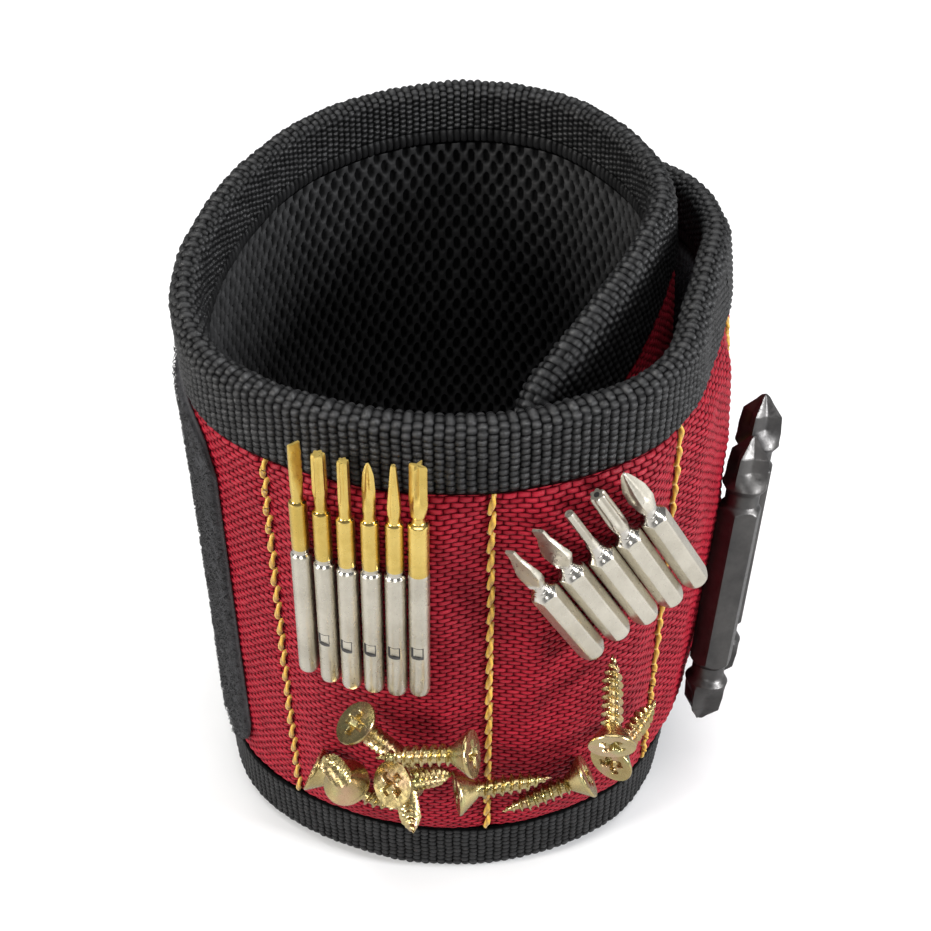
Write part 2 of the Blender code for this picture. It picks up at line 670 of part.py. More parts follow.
# ---------------------------------------------------------------- pivots: each group has an empty
FOLD_CLEARANCE = 0.15
FOLD_SAMPLES = 39  # heights searched for the outermost point
ROOT = "pocket_centre_group"
Pivot = namedtuple("Pivot", "empty place")

# Name, seam, offset of the outermost face between the tapes, parent, prefixes of its pieces.
FOLDS = (
    ("right_fold", SEAM_RIGHT, COVER_OUT, ROOT, ("pocket_right_", "magnet_right_")),
    ("fastening_fold", SEAM_TAB, COVER_OUT, "right_fold", "fastening_end_"),
    ("front_fold", SEAM_FRONT, COVER_OUT, ROOT, ("pocket_left_", "magnet_left_")),
    ("left_fold", SEAM_LEFT, COVER_OUT, "front_fold", "side_left_"),
    ("back_left_fold", FOLD_BACK_LEFT, LOOP_OUT, "left_fold", "back_"),
    ("back_right_fold", FOLD_BACK_RIGHT, COVER_OUT, "back_left_fold", "inner_end_"),
)
# Name, place (along, z, offset), parent, prefix of its pieces.
LIFTS = (
    ("fine_bits_lift", (142.8, 70.0, 4.9), "front_fold", "fine_bit_"),
    ("hex_bits_lift", HEX_ROW_AT, ROOT, "hex_bit_"),
    ("double_bits_lift", (73.0, 39.0, 7.0), "right_fold", "double_bit_"),
    ("right_screws_lift", (113.0, 33.0, 6.0), ROOT, "screw_right_"),
    ("left_screws_lift", (139.0, 33.0, 6.0), "front_fold", "screw_left_"),
)


def fold_point(along, surface):
    """The upright fold line at a seam: just outside everything that meets there, at half height."""
    z = np.linspace(0.0, BAND_H, FOLD_SAMPLES)
    under_tape = np.abs(z - HALF_H) > HALF_H - TAPE_H
    offset = np.where(under_tape, TAPE_OUT, surface) + FOLD_CLEARANCE
    foot = at(along, HALF_H)[:2]
    out = at(along, HALF_H, 1.0)[:2] - foot
    x, y = foot + out * ((at(along, z, offset)[:, :2] - foot) @ out).max()
    return (x, y, HALF_H)


pivots = {}


def pivot(name, point, parent, prefixes):
    """Adds an empty and hangs the pieces named so on it, leaving them where they were modelled."""
    place = Vector(point) * MM
    empty = bpy.data.objects.new(name, None)
    empty.empty_display_size = 0.01
    bpy.context.scene.collection.objects.link(empty)
    empty.location = place
    if parent:
        empty.location = place - pivots[parent].place
        empty.parent = pivots[parent].empty
    pivots[name] = Pivot(empty, place)
    for piece in bpy.data.objects:
        if piece.type == "MESH" and piece.name.startswith(prefixes):
            piece.data.transform(Matrix.Translation(-place))
            piece.parent = empty


pivot(ROOT, (0.0, 0.0, 0.0), None, ("pocket_centre_", "magnet_centre_"))
for name, seam, surface, parent, prefixes in FOLDS:
    pivot(name, fold_point(seam, surface), parent, prefixes)
for name, place, parent, prefix in LIFTS:
    pivot(name, at(*place), parent, prefix)
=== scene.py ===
"""Looks of a magnetic tool wristband: woven nylon cover, ribbed edge tape, spacer mesh lining,
loop pile, thread, bits and screws.

The band stands on its lower edge round the z axis, pockets to the front (-y). It is drawn in
millimetres: `along` runs along the band from the outer fastening end at the back, by the right,
front, left and back, to the inner end; z is height; `offset` is distance out from its middle layer.
"""

import math

import bpy
import numpy as np
from mathutils import Matrix, Vector


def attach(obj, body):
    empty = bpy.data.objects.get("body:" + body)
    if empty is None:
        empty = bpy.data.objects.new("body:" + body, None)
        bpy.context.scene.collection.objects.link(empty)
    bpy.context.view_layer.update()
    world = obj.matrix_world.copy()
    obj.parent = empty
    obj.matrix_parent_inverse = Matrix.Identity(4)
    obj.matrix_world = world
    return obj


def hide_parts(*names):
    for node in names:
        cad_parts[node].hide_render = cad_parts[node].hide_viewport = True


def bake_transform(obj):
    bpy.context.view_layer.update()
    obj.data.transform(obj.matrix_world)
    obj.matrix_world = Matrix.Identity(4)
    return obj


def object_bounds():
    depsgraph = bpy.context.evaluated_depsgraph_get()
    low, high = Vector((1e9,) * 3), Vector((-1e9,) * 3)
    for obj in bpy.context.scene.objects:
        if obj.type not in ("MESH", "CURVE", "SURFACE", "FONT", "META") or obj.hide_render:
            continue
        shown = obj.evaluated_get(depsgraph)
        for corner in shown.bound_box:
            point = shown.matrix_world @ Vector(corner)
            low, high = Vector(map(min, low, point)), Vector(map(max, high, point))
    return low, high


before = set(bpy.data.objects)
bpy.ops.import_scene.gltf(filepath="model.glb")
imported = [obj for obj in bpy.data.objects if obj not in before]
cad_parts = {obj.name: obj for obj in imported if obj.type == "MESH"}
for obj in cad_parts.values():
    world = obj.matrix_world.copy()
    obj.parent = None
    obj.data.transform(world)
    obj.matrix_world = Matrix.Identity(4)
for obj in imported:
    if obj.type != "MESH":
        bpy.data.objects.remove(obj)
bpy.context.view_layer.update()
MM_TO_M = 0.001
COARSEN = 1.0
rng = np.random.default_rng(11)

# ------------------------------------------------------------------ the band's plan
BAND_H, TAPE_H = 95.0, 11.0
# x, y along the band at its two edges
PLAN_RIM = (
    (19.3, 50.1), (30.8, 37.9), (36.9, 23.8), (38.3, 10.0), (37.8, -2.1), (35.7, -11.6),
    (33.1, -21.1), (30.2, -31.5), (24.3, -39.5), (14.3, -45.2), (3.2, -48.2), (-9.5, -47.7),
    (-20.1, -44.4), (-28.5, -39.9), (-35.9, -32.7), (-40.1, -22.2), (-41.4, -9.5), (-39.9, 4.2),
    (-35.5, 19.0), (-27.4, 33.8), (-14.8, 44.3), (1.1, 48.6), (15.8, 44.0), (25.3, 33.3),
    (30.4, 21.1), (31.2, 9.5), (27.7, -2.1), (22.2, -14.3), (16.0, -26.9), (7.3, -40.5),
)
# x, y along the band at mid height
PLAN_MID = (
    (19.8, 51.3), (31.7, 38.7), (39.0, 23.8), (41.1, 10.0), (41.6, -2.1), (39.7, -12.1),
    (36.1, -21.6), (30.9, -32.5), (24.3, -40.4), (14.3, -46.1), (3.2, -49.2), (-9.5, -48.7),
    (-20.1, -45.4), (-28.9, -40.5), (-36.9, -33.1), (-41.5, -22.2), (-42.9, -9.5), (-41.4, 4.2),
    (-36.7, 19.5), (-28.3, 34.8), (-15.3, 45.4), (1.1, 49.6), (16.4, 45.2), (26.2, 34.1),
    (32.1, 21.1), (33.8, 9.5), (31.7, -2.1), (27.7, -14.3), (20.9, -26.4), (10.6, -38.4),
)
PLAN_CENTRE = (2.9, -7.54)  # taken as the origin
SEAMS = (66.0, 95.8, 125.9, 157.8)  # sewn columns, along the band
SEAM_TAB, SEAM_RIGHT, SEAM_FRONT, SEAM_LEFT = SEAMS
TAB_TAPER, END_TAPER, END_TAPER_FROM, CORNER_R = 13.0, 5.5, 345.0, 12.0
TAB_STAND_OFF = 0.9
CLOTH_INSET = 8.8  # from the band's edges to the cloth's, under the tape
TIP_INSET = 8.6  # from the band's tips to the cloth's
CLOTH_H = BAND_H - 18.0  # nominal height, for point counts
COVER_OUT, COVER_PUFF = 1.6, 1.5
LINING_IN, LINING_PUFF = 1.55, 0.8


def run_length(points):
    """Distance run at each point of a path."""
    return np.concatenate([[0], np.cumsum(np.linalg.norm(np.diff(points, axis=0), axis=1))])


def unit(vectors):
    return vectors / np.linalg.norm(vectors, axis=-1)[..., None]


def ease(value, start, end):
    """Smooth step from 0 at start to 1 at end; start may be the larger."""
    share = np.clip((value - start) / (end - start), 0, 1)
    return share * share * (3 - 2 * share)


def smooth_curve(points, steps=24):
    """Catmull-Rom curve through the points."""
    pts = np.array(points, float)
    pts = np.vstack([2 * pts[0] - pts[1], pts, 2 * pts[-1] - pts[-2]])
    u = np.linspace(0, 1, steps, endpoint=False)[:, None]
    spans = []
    for before, start, end, after in zip(pts[:-3], pts[1:-2], pts[2:-1], pts[3:]):
        square = 2 * before - 5 * start + 4 * end - after
        cube = 3 * start - before - 3 * end + after
        spans.append(0.5 * (2 * start + (end - before) * u + square * u**2 + cube * u**3))
    return np.vstack(spans + [pts[-2:-1]])


RIM, MID = (smooth_curve(points) - PLAN_CENTRE for points in (PLAN_RIM, PLAN_MID))
ALONG = run_length(MID)
END = float(ALONG[-1])


def plan(along, z):
    """Plan position of the middle layer."""
    rim_share = ((np.abs(z - BAND_H / 2) / (BAND_H / 2)) ** 2.5)[..., None]
    mid, rim = (
        np.stack([np.interp(along, ALONG, curve[:, k]) for k in (0, 1)], -1) for curve in (MID, RIM)
    )
    # the left side is drawn in a little
    mid[..., 0] += 1.9 * ease(along, 156.0, 182.0) * ease(along, 236.0, 205.0)
    # the loose inner end leans in at its top edge, and its tip reaches forward
    top = np.clip((z - 58.0) / 37.0, 0, 1) ** 2
    lean = ease(along, 348.0, 374.0) * (3.0 * top - 1.8 * (1 - top))
    far = 4.5 * top * ease(along, 362.0, 389.0)
    moved = np.stack([-0.84 * lean - 0.6 * far, 0.54 * lean - 0.8 * far], -1)
    return mid + (rim - mid) * rim_share + moved


def point(along, z, offset=0.0):
    """The point in space at a place on the band."""
    along, z, offset = np.broadcast_arrays(*(np.asarray(v, float) for v in (along, z, offset)))
    held_z = np.clip(z, 0, BAND_H)
    ahead = unit(plan(along + 1.2, held_z) - plan(along - 1.2, held_z))
    outward = np.stack([-ahead[..., 1], ahead[..., 0]], -1)
    offset = offset + TAB_STAND_OFF * ease(along, 64.0, 50.0)
    flat = plan(along, held_z) + outward * offset[..., None]
    return np.concatenate([flat, z[..., None]], -1)


def local_axes(along, z):
    """Unit vectors to the right (as seen from outside), up and out at a place on the band."""
    up = Vector(point(along, z + 4) - point(along, z - 4)).normalized()
    right = Vector(point(along - 1, z) - point(along + 1, z))
    right = (right - up * right.dot(up)).normalized()
    return right, up, right.cross(up).normalized()


def edge_drop(along):
    """How far the tapering ends draw in from the full height, at top and bottom alike."""
    along = np.asarray(along, float)
    tab = TAB_TAPER * np.clip((SEAM_TAB - along) / SEAM_TAB, 0, 1)
    return tab + END_TAPER * np.clip((along - END_TAPER_FROM) / (END - END_TAPER_FROM), 0, 1)


def corner_cut(distance, radius):
    """How far a rounded corner draws in at a distance from the tip."""
    near = np.clip(1 - distance / radius, 0, 1)
    return radius * (1 - np.sqrt(np.clip(1 - near**2, 0, 1)))


def cloth_edges(along):
    """Low and high edges of the cloth between the tapes."""
    drop = edge_drop(along) + CLOTH_INSET
    for tip in (0.0, END):
        drop = drop + corner_cut(np.abs(along - tip) - CLOTH_INSET, CORNER_R - CLOTH_INSET)
    return drop, BAND_H - drop


def pocket(along, z):
    """1 in the middle of each padded pocket, 0 along its seams."""
    total = 0.0
    for start, end in zip(SEAMS[:-1], SEAMS[1:]):
        total = total + ease(along, start + 0.6, start + 7.5) * ease(along, end - 0.6, end - 7.5)
    return total * ease(np.minimum(z, BAND_H - z), TAPE_H - 1.0, TAPE_H + 5.5)


# rates along and up, phase and weight of each ripple
WAVES = [
    (rng.uniform(0.25, 0.75), rng.uniform(-0.5, 0.5), rng.uniform(0, 6.28), rng.uniform(0.4, 1.0))
    for _ in range(14)
]


def waviness(along, z):
    """Slow, irregular undulation of the padded cloth, about -1 to 1."""
    total = 0.0
    for rate_along, rate_z, phase, weight in WAVES:
        total = total + weight * np.sin(rate_along * along + rate_z * z + phase)
    return total / 5.0


def hashed(i, j, k):
    """Repeatable scatter from 0 to 1 for a cell."""
    value = np.sin(i * 127.1 + j * 311.7 + k * 74.7) * 43758.5453
    return value - np.floor(value)


# ------------------------------------------------------------------ meshes
def make_mesh(name, verts, faces, mats, uv=None, attrs=None, mat_index=None):
    """An object from points in millimetres and a list of face arrays, one row to a face."""
    loops = np.concatenate([group.ravel() for group in faces])
    sizes = np.concatenate([np.full(len(group), group.shape[1]) for group in faces])
    mesh = bpy.data.meshes.new(name)
    mesh.vertices.add(len(verts))
    mesh.vertices.foreach_set("co", (np.asarray(verts, np.float32) * MM_TO_M).ravel())
    mesh.loops.add(len(loops))
    mesh.loops.foreach_set("vertex_index", loops.astype(np.int32))
    mesh.polygons.add(len(sizes))
    mesh.polygons.foreach_set("loop_start", (np.cumsum(sizes) - sizes).astype(np.int32))
    mesh.polygons.foreach_set("use_smooth", np.ones(len(sizes), bool))
    if mat_index is not None:
        mesh.polygons.foreach_set("material_index", np.asarray(mat_index, np.int32))
    mesh.update(calc_edges=True)
    mesh.validate()
    if uv is not None:
        layer = mesh.uv_layers.new(name="cloth")
        layer.data.foreach_set("uv", np.asarray(uv, np.float32)[loops].ravel())
    for key, values in (attrs or {}).items():
        attribute = mesh.attributes.new(key, "FLOAT", "POINT")
        attribute.data.foreach_set("value", np.asarray(values, np.float32))
    for mat in mats:
        mesh.materials.append(mat)
    obj = bpy.data.objects.new(name, mesh)
    bpy.context.scene.collection.objects.link(obj)
    return obj


def cloth_solid(name, fine, back, every, uv, attrs, mat):
    """A closed sheet: a fine face, a plain back on every few points, and walls between them."""
    coarse = back[::every, ::every]
    rows, cols = fine.shape[:2]
    rows_c, cols_c = coarse.shape[:2]
    idx = np.arange(rows * cols).reshape(rows, cols)
    cid = rows * cols + np.arange(rows_c * cols_c).reshape(rows_c, cols_c)
    front_faces = np.stack([idx[:-1, :-1], idx[1:, :-1], idx[1:, 1:], idx[:-1, 1:]], -1)
    back_faces = np.stack([cid[:-1, :-1], cid[:-1, 1:], cid[1:, 1:], cid[1:, :-1]], -1)
    walls = []
    for j in range(cols_c - 1):
        span = slice(j * every, (j + 1) * every + 1)
        walls.append([*idx[0, span], cid[0, j + 1], cid[0, j]])
        walls.append([*idx[-1, span][::-1], cid[-1, j], cid[-1, j + 1]])
    for i in range(rows_c - 1):
        span = slice(i * every, (i + 1) * every + 1)
        walls.append([*idx[span, 0][::-1], cid[i, 0], cid[i + 1, 0]])
        walls.append([*idx[span, -1], cid[i + 1, -1], cid[i, -1]])
    faces = [front_faces.reshape(-1, 4), back_faces.reshape(-1, 4), np.array(walls)]
    # turn the faces round where the fine face would look inwards
    i, j = rows // 2, cols // 2
    here = fine[i, j]
    side_i = fine[min(i + every, rows - 1), j] - here
    side_j = fine[i, min(j + every, cols - 1)] - here
    if np.dot(np.cross(side_i, side_j), here - coarse[i // every, j // every]) < 0:
        faces = [group[:, ::-1] for group in faces]
    verts = np.concatenate([fine.reshape(-1, 3), coarse.reshape(-1, 3)])
    uvs = np.concatenate([uv.reshape(-1, 2), uv[::every, ::every].reshape(-1, 2)]) * 0.01
    full = {
        key: np.concatenate([values.ravel(), values[::every, ::every].ravel()])
        for key, values in attrs.items()
    }
    return make_mesh(name, verts, faces, [mat], uvs, full)


def count(length, pitch, every):
    """A number of points for a run, one more than a multiple of `every`."""
    return max(1, int(round(length / (pitch * COARSEN) / every))) * every + 1


def sheet_grid(start, end, height, pitches, every, edges):
    """Grids of `along` and z over a sheet whose low and high edges are given by a function."""
    along = np.linspace(start, end, count(end - start, pitches[0], every))
    across = np.linspace(0, 1, count(height, pitches[1], every))
    low, high = edges(along)
    z = low[:, None] + (high - low)[:, None] * across[None, :]
    return np.repeat(along[:, None], len(across), 1), z


# ------------------------------------------------------------------ materials
class Nodes:
    """A node tree, with a short method for each kind of node in use."""

    def __init__(self, tree):
        self.tree = tree

    def feed(self, node, inputs):
        """Link or set a node's inputs; colours are given as three numbers."""
        for key, value in inputs.items():
            socket = node.inputs[key]
            if isinstance(value, bpy.types.NodeSocket):
                self.tree.links.new(value, socket)
            else:
                socket.default_value = (*value, 1) if socket.type == "RGBA" else value

    def add(self, kind, inputs=None, **settings):
        node = self.tree.nodes.new("ShaderNode" + kind)
        for key, value in settings.items():
            setattr(node, key, value)
        self.feed(node, inputs or {})
        return node

    def principled(self, inputs):
        self.feed(self.tree.nodes["Principled BSDF"], inputs)

    def mix(self, factor, first, second, mode="MIX"):
        inputs = {0: factor, 6: first, 7: second}
        return self.add("Mix", inputs, data_type="RGBA", blend_type=mode).outputs[2]

    def remap(self, value, span, to=(0, 1)):
        inputs = {0: value, 1: span[0], 2: span[1], 3: to[0], 4: to[1]}
        return self.add("MapRange", inputs).outputs[0]

    def attribute(self, name):
        return self.add("Attribute", attribute_name=name).outputs["Fac"]

    def math(self, operation, first, second):
        return self.add("Math", {0: first, 1: second}, operation=operation).outputs[0]

    def place(self, kind="Object", scale=(1, 1, 1)):
        coordinates = self.add("TexCoord").outputs[kind]
        return self.add("Mapping", {"Vector": coordinates, "Scale": scale}).outputs["Vector"]

    def noise(self, scale, detail=3.0, roughness=0.6, vector=None):
        inputs = {"Scale": scale, "Detail": detail, "Roughness": roughness}
        inputs["Vector"] = vector or self.place()
        return self.add("TexNoise", inputs).outputs["Fac"]

    def filaments(self, scale):
        """Fine streaks in the cloth's own coordinates."""
        return self.noise(scale=1.0, detail=2.0, vector=self.place("UV", scale))

    def shaded(self, colour, shade):
        """A colour multiplied by a brightness."""
        grey = self.add("CombineColor", {0: shade, 1: shade, 2: shade}).outputs[0]
        return self.mix(1.0, colour, grey, "MULTIPLY")

    def bump(self, height, strength, distance):
        inputs = {"Strength": strength, "Distance": distance, "Height": height}
        self.principled({"Normal": self.add("Bump", inputs).outputs["Normal"]})


def new_material(name):
    material = bpy.data.materials.new(name)
    material.use_nodes = True
    return material, Nodes(material.node_tree)


def cloth_material(name, low, high, rough, sheen, fibre_strength, specular, vary):
    """Yarn with painted shade where it is low, and filaments along the thread that is on top."""
    material, nodes = new_material(name)
    height = nodes.attribute("height")
    # the mix from low to high by height paints shade into the low places: the gaps between the tape's knots,
    # the lining's holes and the hook sheet's troughs
    colour = nodes.mix(nodes.remap(height, (0.05, 0.8)), low, high)
    shade = nodes.remap(nodes.attribute("tone"), (0, 1), to=(1 - vary, 1 + vary))
    broad = nodes.noise(scale=55.0)
    patches = nodes.remap(broad, (0.3, 0.7), to=(1 - vary * 0.35, 1 + vary * 0.35))
    shade = nodes.math("MULTIPLY", shade, patches)
    lengthwise = nodes.filaments((330, 2600, 1))
    upright = nodes.filaments((2600, 330, 1))
    way = nodes.attribute("way")
    fibre = nodes.add("Mix", {0: way, 2: upright, 3: lengthwise}).outputs[0]
    shade = nodes.math("MULTIPLY", shade, nodes.remap(fibre, (0.25, 0.75), to=(0.86, 1.14)))
    nodes.principled({
        "Base Color": nodes.shaded(colour, shade),
        "Roughness": nodes.remap(fibre, (0.2, 0.8), to=(rough - 0.1, rough + 0.1)),
        "Sheen Weight": sheen,
        "Sheen Roughness": 0.45,
        "Sheen Tint": (0.9, 0.9, 1.0),
        "Specular IOR Level": nodes.remap(height, (0.35, 0.95), to=(0.02, specular)),
    })
    nodes.bump(fibre, strength=fibre_strength, distance=0.00012)
    return material


FLOAT_L, FLOAT_H = 1.90, 0.78  # one visible length of weft, and the height of its row


def red_material():
    """Thick red yarn: the mesh's bricks, with painted shade in the mortar between them and where the yarn
    lies low, and a tone for each.
    """
    material, nodes = new_material("red_nylon_weave")
    brick_inputs = {
        "Vector": nodes.place("UV", (100, 100, 1)),
        "Scale": 1.0,
        "Mortar Size": 0.11,
        "Mortar Smooth": 1.0,
        "Bias": 0.0,
        "Brick Width": FLOAT_L,
        "Row Height": FLOAT_H,
        "Color1": (0.235, 0.0045, 0.014),
        "Color2": (0.330, 0.0085, 0.022),
        # the dark mortar is painted shade in the gaps between the floats
        "Mortar": (0.030, 0.0004, 0.0015),
    }
    brick = nodes.add("TexBrick", brick_inputs, offset=0.5, offset_frequency=2, squash=1.0)
    height = nodes.attribute("height")
    # painted shade where the yarn lies low, between the rows and at the warp's knuckles
    crossing_shade = (0.022, 0.0004, 0.0012)
    colour = nodes.mix(nodes.remap(height, (0.15, 0.75)), crossing_shade, brick.outputs["Color"])
    broad = nodes.remap(nodes.noise(scale=45.0), (0.3, 0.7), to=(0.92, 1.08))
    fibre = nodes.filaments((330, 3000, 1))
    shade = nodes.math("MULTIPLY", broad, nodes.remap(fibre, (0.25, 0.75), to=(0.84, 1.16)))
    nodes.principled({
        "Base Color": nodes.shaded(colour, shade),
        "Roughness": nodes.remap(fibre, (0.2, 0.8), to=(0.34, 0.52)),
        "Specular IOR Level": nodes.remap(height, (0.35, 0.95), to=(0.0, 0.42)),
        "Specular Tint": (1.0, 0.55, 0.58),
        "Sheen Weight": 0.05,
        "Sheen Tint": (1.0, 0.25, 0.30),
    })
    yarn = nodes.math("MULTIPLY", nodes.math("SUBTRACT", 1.0, brick.outputs["Fac"]), 0.8)
    relief = nodes.math("ADD", yarn, nodes.math("MULTIPLY", fibre, 0.25))
    nodes.bump(relief, strength=0.75, distance=0.00022)
    return material


def loop_material():
    """Matt black pile, paler at its cut edge."""
    material, nodes = new_material("black_loop_pile")
    fine = nodes.noise(scale=900.0, detail=5.0, roughness=0.75)
    broad = nodes.noise(scale=160.0)
    dark, pale = (0.0012, 0.0012, 0.0014), (0.0135, 0.0135, 0.0145)
    colour = nodes.mix(nodes.remap(fine, (0.35, 0.7)), dark, pale)
    patches = nodes.remap(broad, (0.35, 0.65), to=(0.0, 0.55))
    colour = nodes.mix(patches, colour, (0.006, 0.006, 0.0065))
    edge = nodes.remap(nodes.attribute("height"), (0.9, 1.6))
    nodes.principled({
        "Base Color": nodes.mix(edge, colour, (0.06, 0.06, 0.062)),
        "Roughness": 0.95,
        "Specular IOR Level": 0.2,
        "Sheen Weight": 0.18,
        "Sheen Roughness": 0.6,
        "Sheen Tint": (0.75, 0.75, 0.8),
    })
    nodes.bump(fine, strength=0.9, distance=0.0006)
    return material


def fibre_material():
    material, nodes = new_material("black_loop_fibres")
    share = nodes.remap(nodes.noise(scale=420.0, roughness=0.7), (0.35, 0.7))
    colour = nodes.mix(share, (0.004, 0.004, 0.0045), (0.042, 0.042, 0.045))
    nodes.principled({"Base Color": colour, "Roughness": 0.6})
    return material


def thread_material():
    """Yellow thread, with painted shade between its plies."""
    material, nodes = new_material("yellow_thread")
    grain = nodes.noise(scale=1500.0)
    ply_shading = nodes.remap(nodes.attribute("height"), (0.0, 1.0))
    # the brown is painted shade in the grooves between the plies
    colour = nodes.mix(ply_shading, (0.20, 0.085, 0.004), (0.74, 0.44, 0.045))
    glints = nodes.remap(grain, (0.35, 0.7), to=(0.0, 0.45))
    nodes.principled({
        "Base Color": nodes.mix(glints, colour, (0.80, 0.48, 0.07)),
        "Roughness": 0.42,
        "Sheen Weight": 0.25,
    })
    nodes.bump(grain, strength=0.4, distance=0.0001)
    return material


def metal(name, base, dark, rough, grain=2200.0, vary=0.10, relief=0.12, iridescent=False):
    """Metal with a fine grain, clouded between two colours."""
    material, nodes = new_material(name)
    place = nodes.place()
    fine = nodes.noise(scale=grain, roughness=0.65, vector=place)
    broad = nodes.noise(scale=120.0, detail=4.0, roughness=0.65, vector=place)
    colour = nodes.mix(nodes.remap(broad, (0.35, 0.7)), dark, base)
    if iridescent:
        pink = nodes.noise(scale=260.0, detail=2.0, roughness=0.5, vector=place)
        stretched = nodes.place("Object", (1.7, 1.7, 1.7))
        green = nodes.noise(scale=310.0, detail=2.0, roughness=0.5, vector=stretched)
        pink_share = nodes.remap(pink, (0.50, 0.70), to=(0.0, 0.50))
        colour = nodes.mix(pink_share, colour, (0.62, 0.36, 0.28))
        green_share = nodes.remap(green, (0.52, 0.72), to=(0.0, 0.40))
        colour = nodes.mix(green_share, colour, (0.36, 0.44, 0.20))
    roughness = nodes.remap(fine, (0.3, 0.7), to=(rough - vary, rough + vary))
    nodes.principled({"Metallic": 1.0, "Base Color": colour, "Roughness": roughness})
    nodes.bump(fine, strength=relief, distance=0.00005)
    return material


RED = red_material()
# each cloth's low colour is painted shade for its low places; its high colour is the yarn's own
TAPE = cloth_material(
    "charcoal_ribbed_tape", low=(0.0002, 0.0002, 0.00022), high=(0.0090, 0.0090, 0.0093),
    rough=0.40, sheen=0.0, fibre_strength=0.5, specular=0.50, vary=0.35,
)
MESH = cloth_material(
    "black_spacer_mesh", low=(0.0055, 0.0055, 0.0056), high=(0.029, 0.029, 0.0295),
    rough=0.6, sheen=0.02, fibre_strength=0.4, specular=0.35, vary=0.25,
)
HOOK = cloth_material(
    "black_hook_sheet", low=(0.004, 0.004, 0.004), high=(0.020, 0.020, 0.021),
    rough=0.6, sheen=0.10, fibre_strength=0.3, specular=0.4, vary=0.2,
)
LOOP = loop_material()
FIBRE = fibre_material()
THREAD = thread_material()
NICKEL = metal(
    "satin_nickel", base=(0.68, 0.64, 0.545), dark=(0.52, 0.485, 0.405),
    rough=0.34, grain=2600.0, relief=0.35,
)
NICKEL_BRIGHT = metal(
    "polished_nickel", base=(0.68, 0.65, 0.59), dark=(0.55, 0.52, 0.47),
    rough=0.18, grain=1500.0, vary=0.05, relief=0.05,
)
GOLD = metal(
    "gold_nitride", base=(0.84, 0.63, 0.20), dark=(0.62, 0.44, 0.11),
    rough=0.33, grain=2400.0, vary=0.09, relief=0.25,
)
GOLD_BRIGHT = metal(
    "polished_gold_nitride", base=(0.86, 0.64, 0.22), dark=(0.62, 0.43, 0.12),
    rough=0.18, grain=1500.0, vary=0.05, relief=0.05,
)
# dark steel of the double bits; the same material is painted shade on the fine bits' notch rims and in the
# hex bit's tip hole
GUN_AND_SHADE = metal(
    "dark_phosphated_steel_and_painted_shade", base=(0.120, 0.116, 0.112), dark=(0.065, 0.063, 0.063),
    rough=0.42, grain=1800.0, vary=0.12, relief=0.3,
)
ZINC = metal(
    "yellow_zinc", base=(0.60, 0.49, 0.24), dark=(0.36, 0.27, 0.11),
    rough=0.26, grain=1400.0, vary=0.08, relief=0.1, iridescent=True,
)
MAGNET = metal("plate_magnet", base=(0.42, 0.43, 0.44), dark=(0.30, 0.31, 0.32), rough=0.34)

# ------------------------------------------------------------------ joints between the panels; the cloth's pieces are cut between them and set in place
PANELS = (
    "fastening_end", "pocket_right", "pocket_centre", "pocket_left", "side_left", "back",
    "inner_end",
)
JOINTS = (*SEAMS, 236.0, 319.0)  # each between one panel and the next
BEND_HALF = (9.0, 6.0, 6.0, 7.0, 22.0, 20.0)
# each piece of cloth lies over one joint and is cut midway to the next
CUTS = [TIP_INSET, *((a + b) / 2 for a, b in zip(JOINTS[:-1], JOINTS[1:])), END - TIP_INSET]


def bend_across(obj, k):
    start, end = (
        tuple(float(x) for x in point(JOINTS[k] + reach, BAND_H / 2) * MM_TO_M)
        for reach in (-BEND_HALF[k], BEND_HALF[k])
    )
    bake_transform(obj)


# ------------------------------------------------------------------ red cover
STITCH = 3.45  # length of one stitch in the sewn columns
# spacing of points along the band and up it, for each piece
COVER_PITCHES = (
    (0.30, 0.24), (0.20, 0.165), (0.20, 0.165), (0.262, 0.168), (0.6, 0.5), (0.36, 0.30)
)


def weave(along, z):
    """Long weft floats laid like bricks, with the warp's knuckles between their ends.

    Returns the height, about 0 to 1, and the yarn's own coordinates.
    """
    yarn_s = along + 0.10 * np.sin(z * 0.9 + 0.3 * np.sin(along * 0.21))
    yarn_s = yarn_s + 0.05 * np.sin(z * 2.3 + along * 0.13)
    yarn_z = z + 0.09 * np.sin(along * 0.8 + 0.4 * np.sin(z * 0.17)) + 0.04 * np.sin(along * 2.1)
    row = np.floor(yarn_z / FLOAT_H)
    y = 2 * (yarn_z / FLOAT_H - row) - 1
    brick = yarn_s / FLOAT_L + 0.5 * np.mod(row + 1, 2)
    x = brick - np.floor(brick)
    x_float = (x - 0.5) / 0.44
    x_knuckle = np.minimum(x, 1 - x) / 0.16
    crown = 0.25 + 0.75 * np.sqrt(np.clip(1 - 0.95 * x_float * x_float, 0, 1))
    yarn = crown * np.sqrt(np.clip(1 - 0.96 * y * y, 0, 1)) * (np.abs(x_float) < 1)
    knuckle = 0.42 * np.sqrt(np.clip(1 - x_knuckle * x_knuckle, 0, 1))
    knuckle = knuckle * np.sqrt(np.clip(1 - 0.6 * y * y, 0, 1))
    swell = 0.9 + 0.2 * hashed(np.floor(brick), row, 2.0)
    return np.maximum(yarn, knuckle) * swell, yarn_s, yarn_z


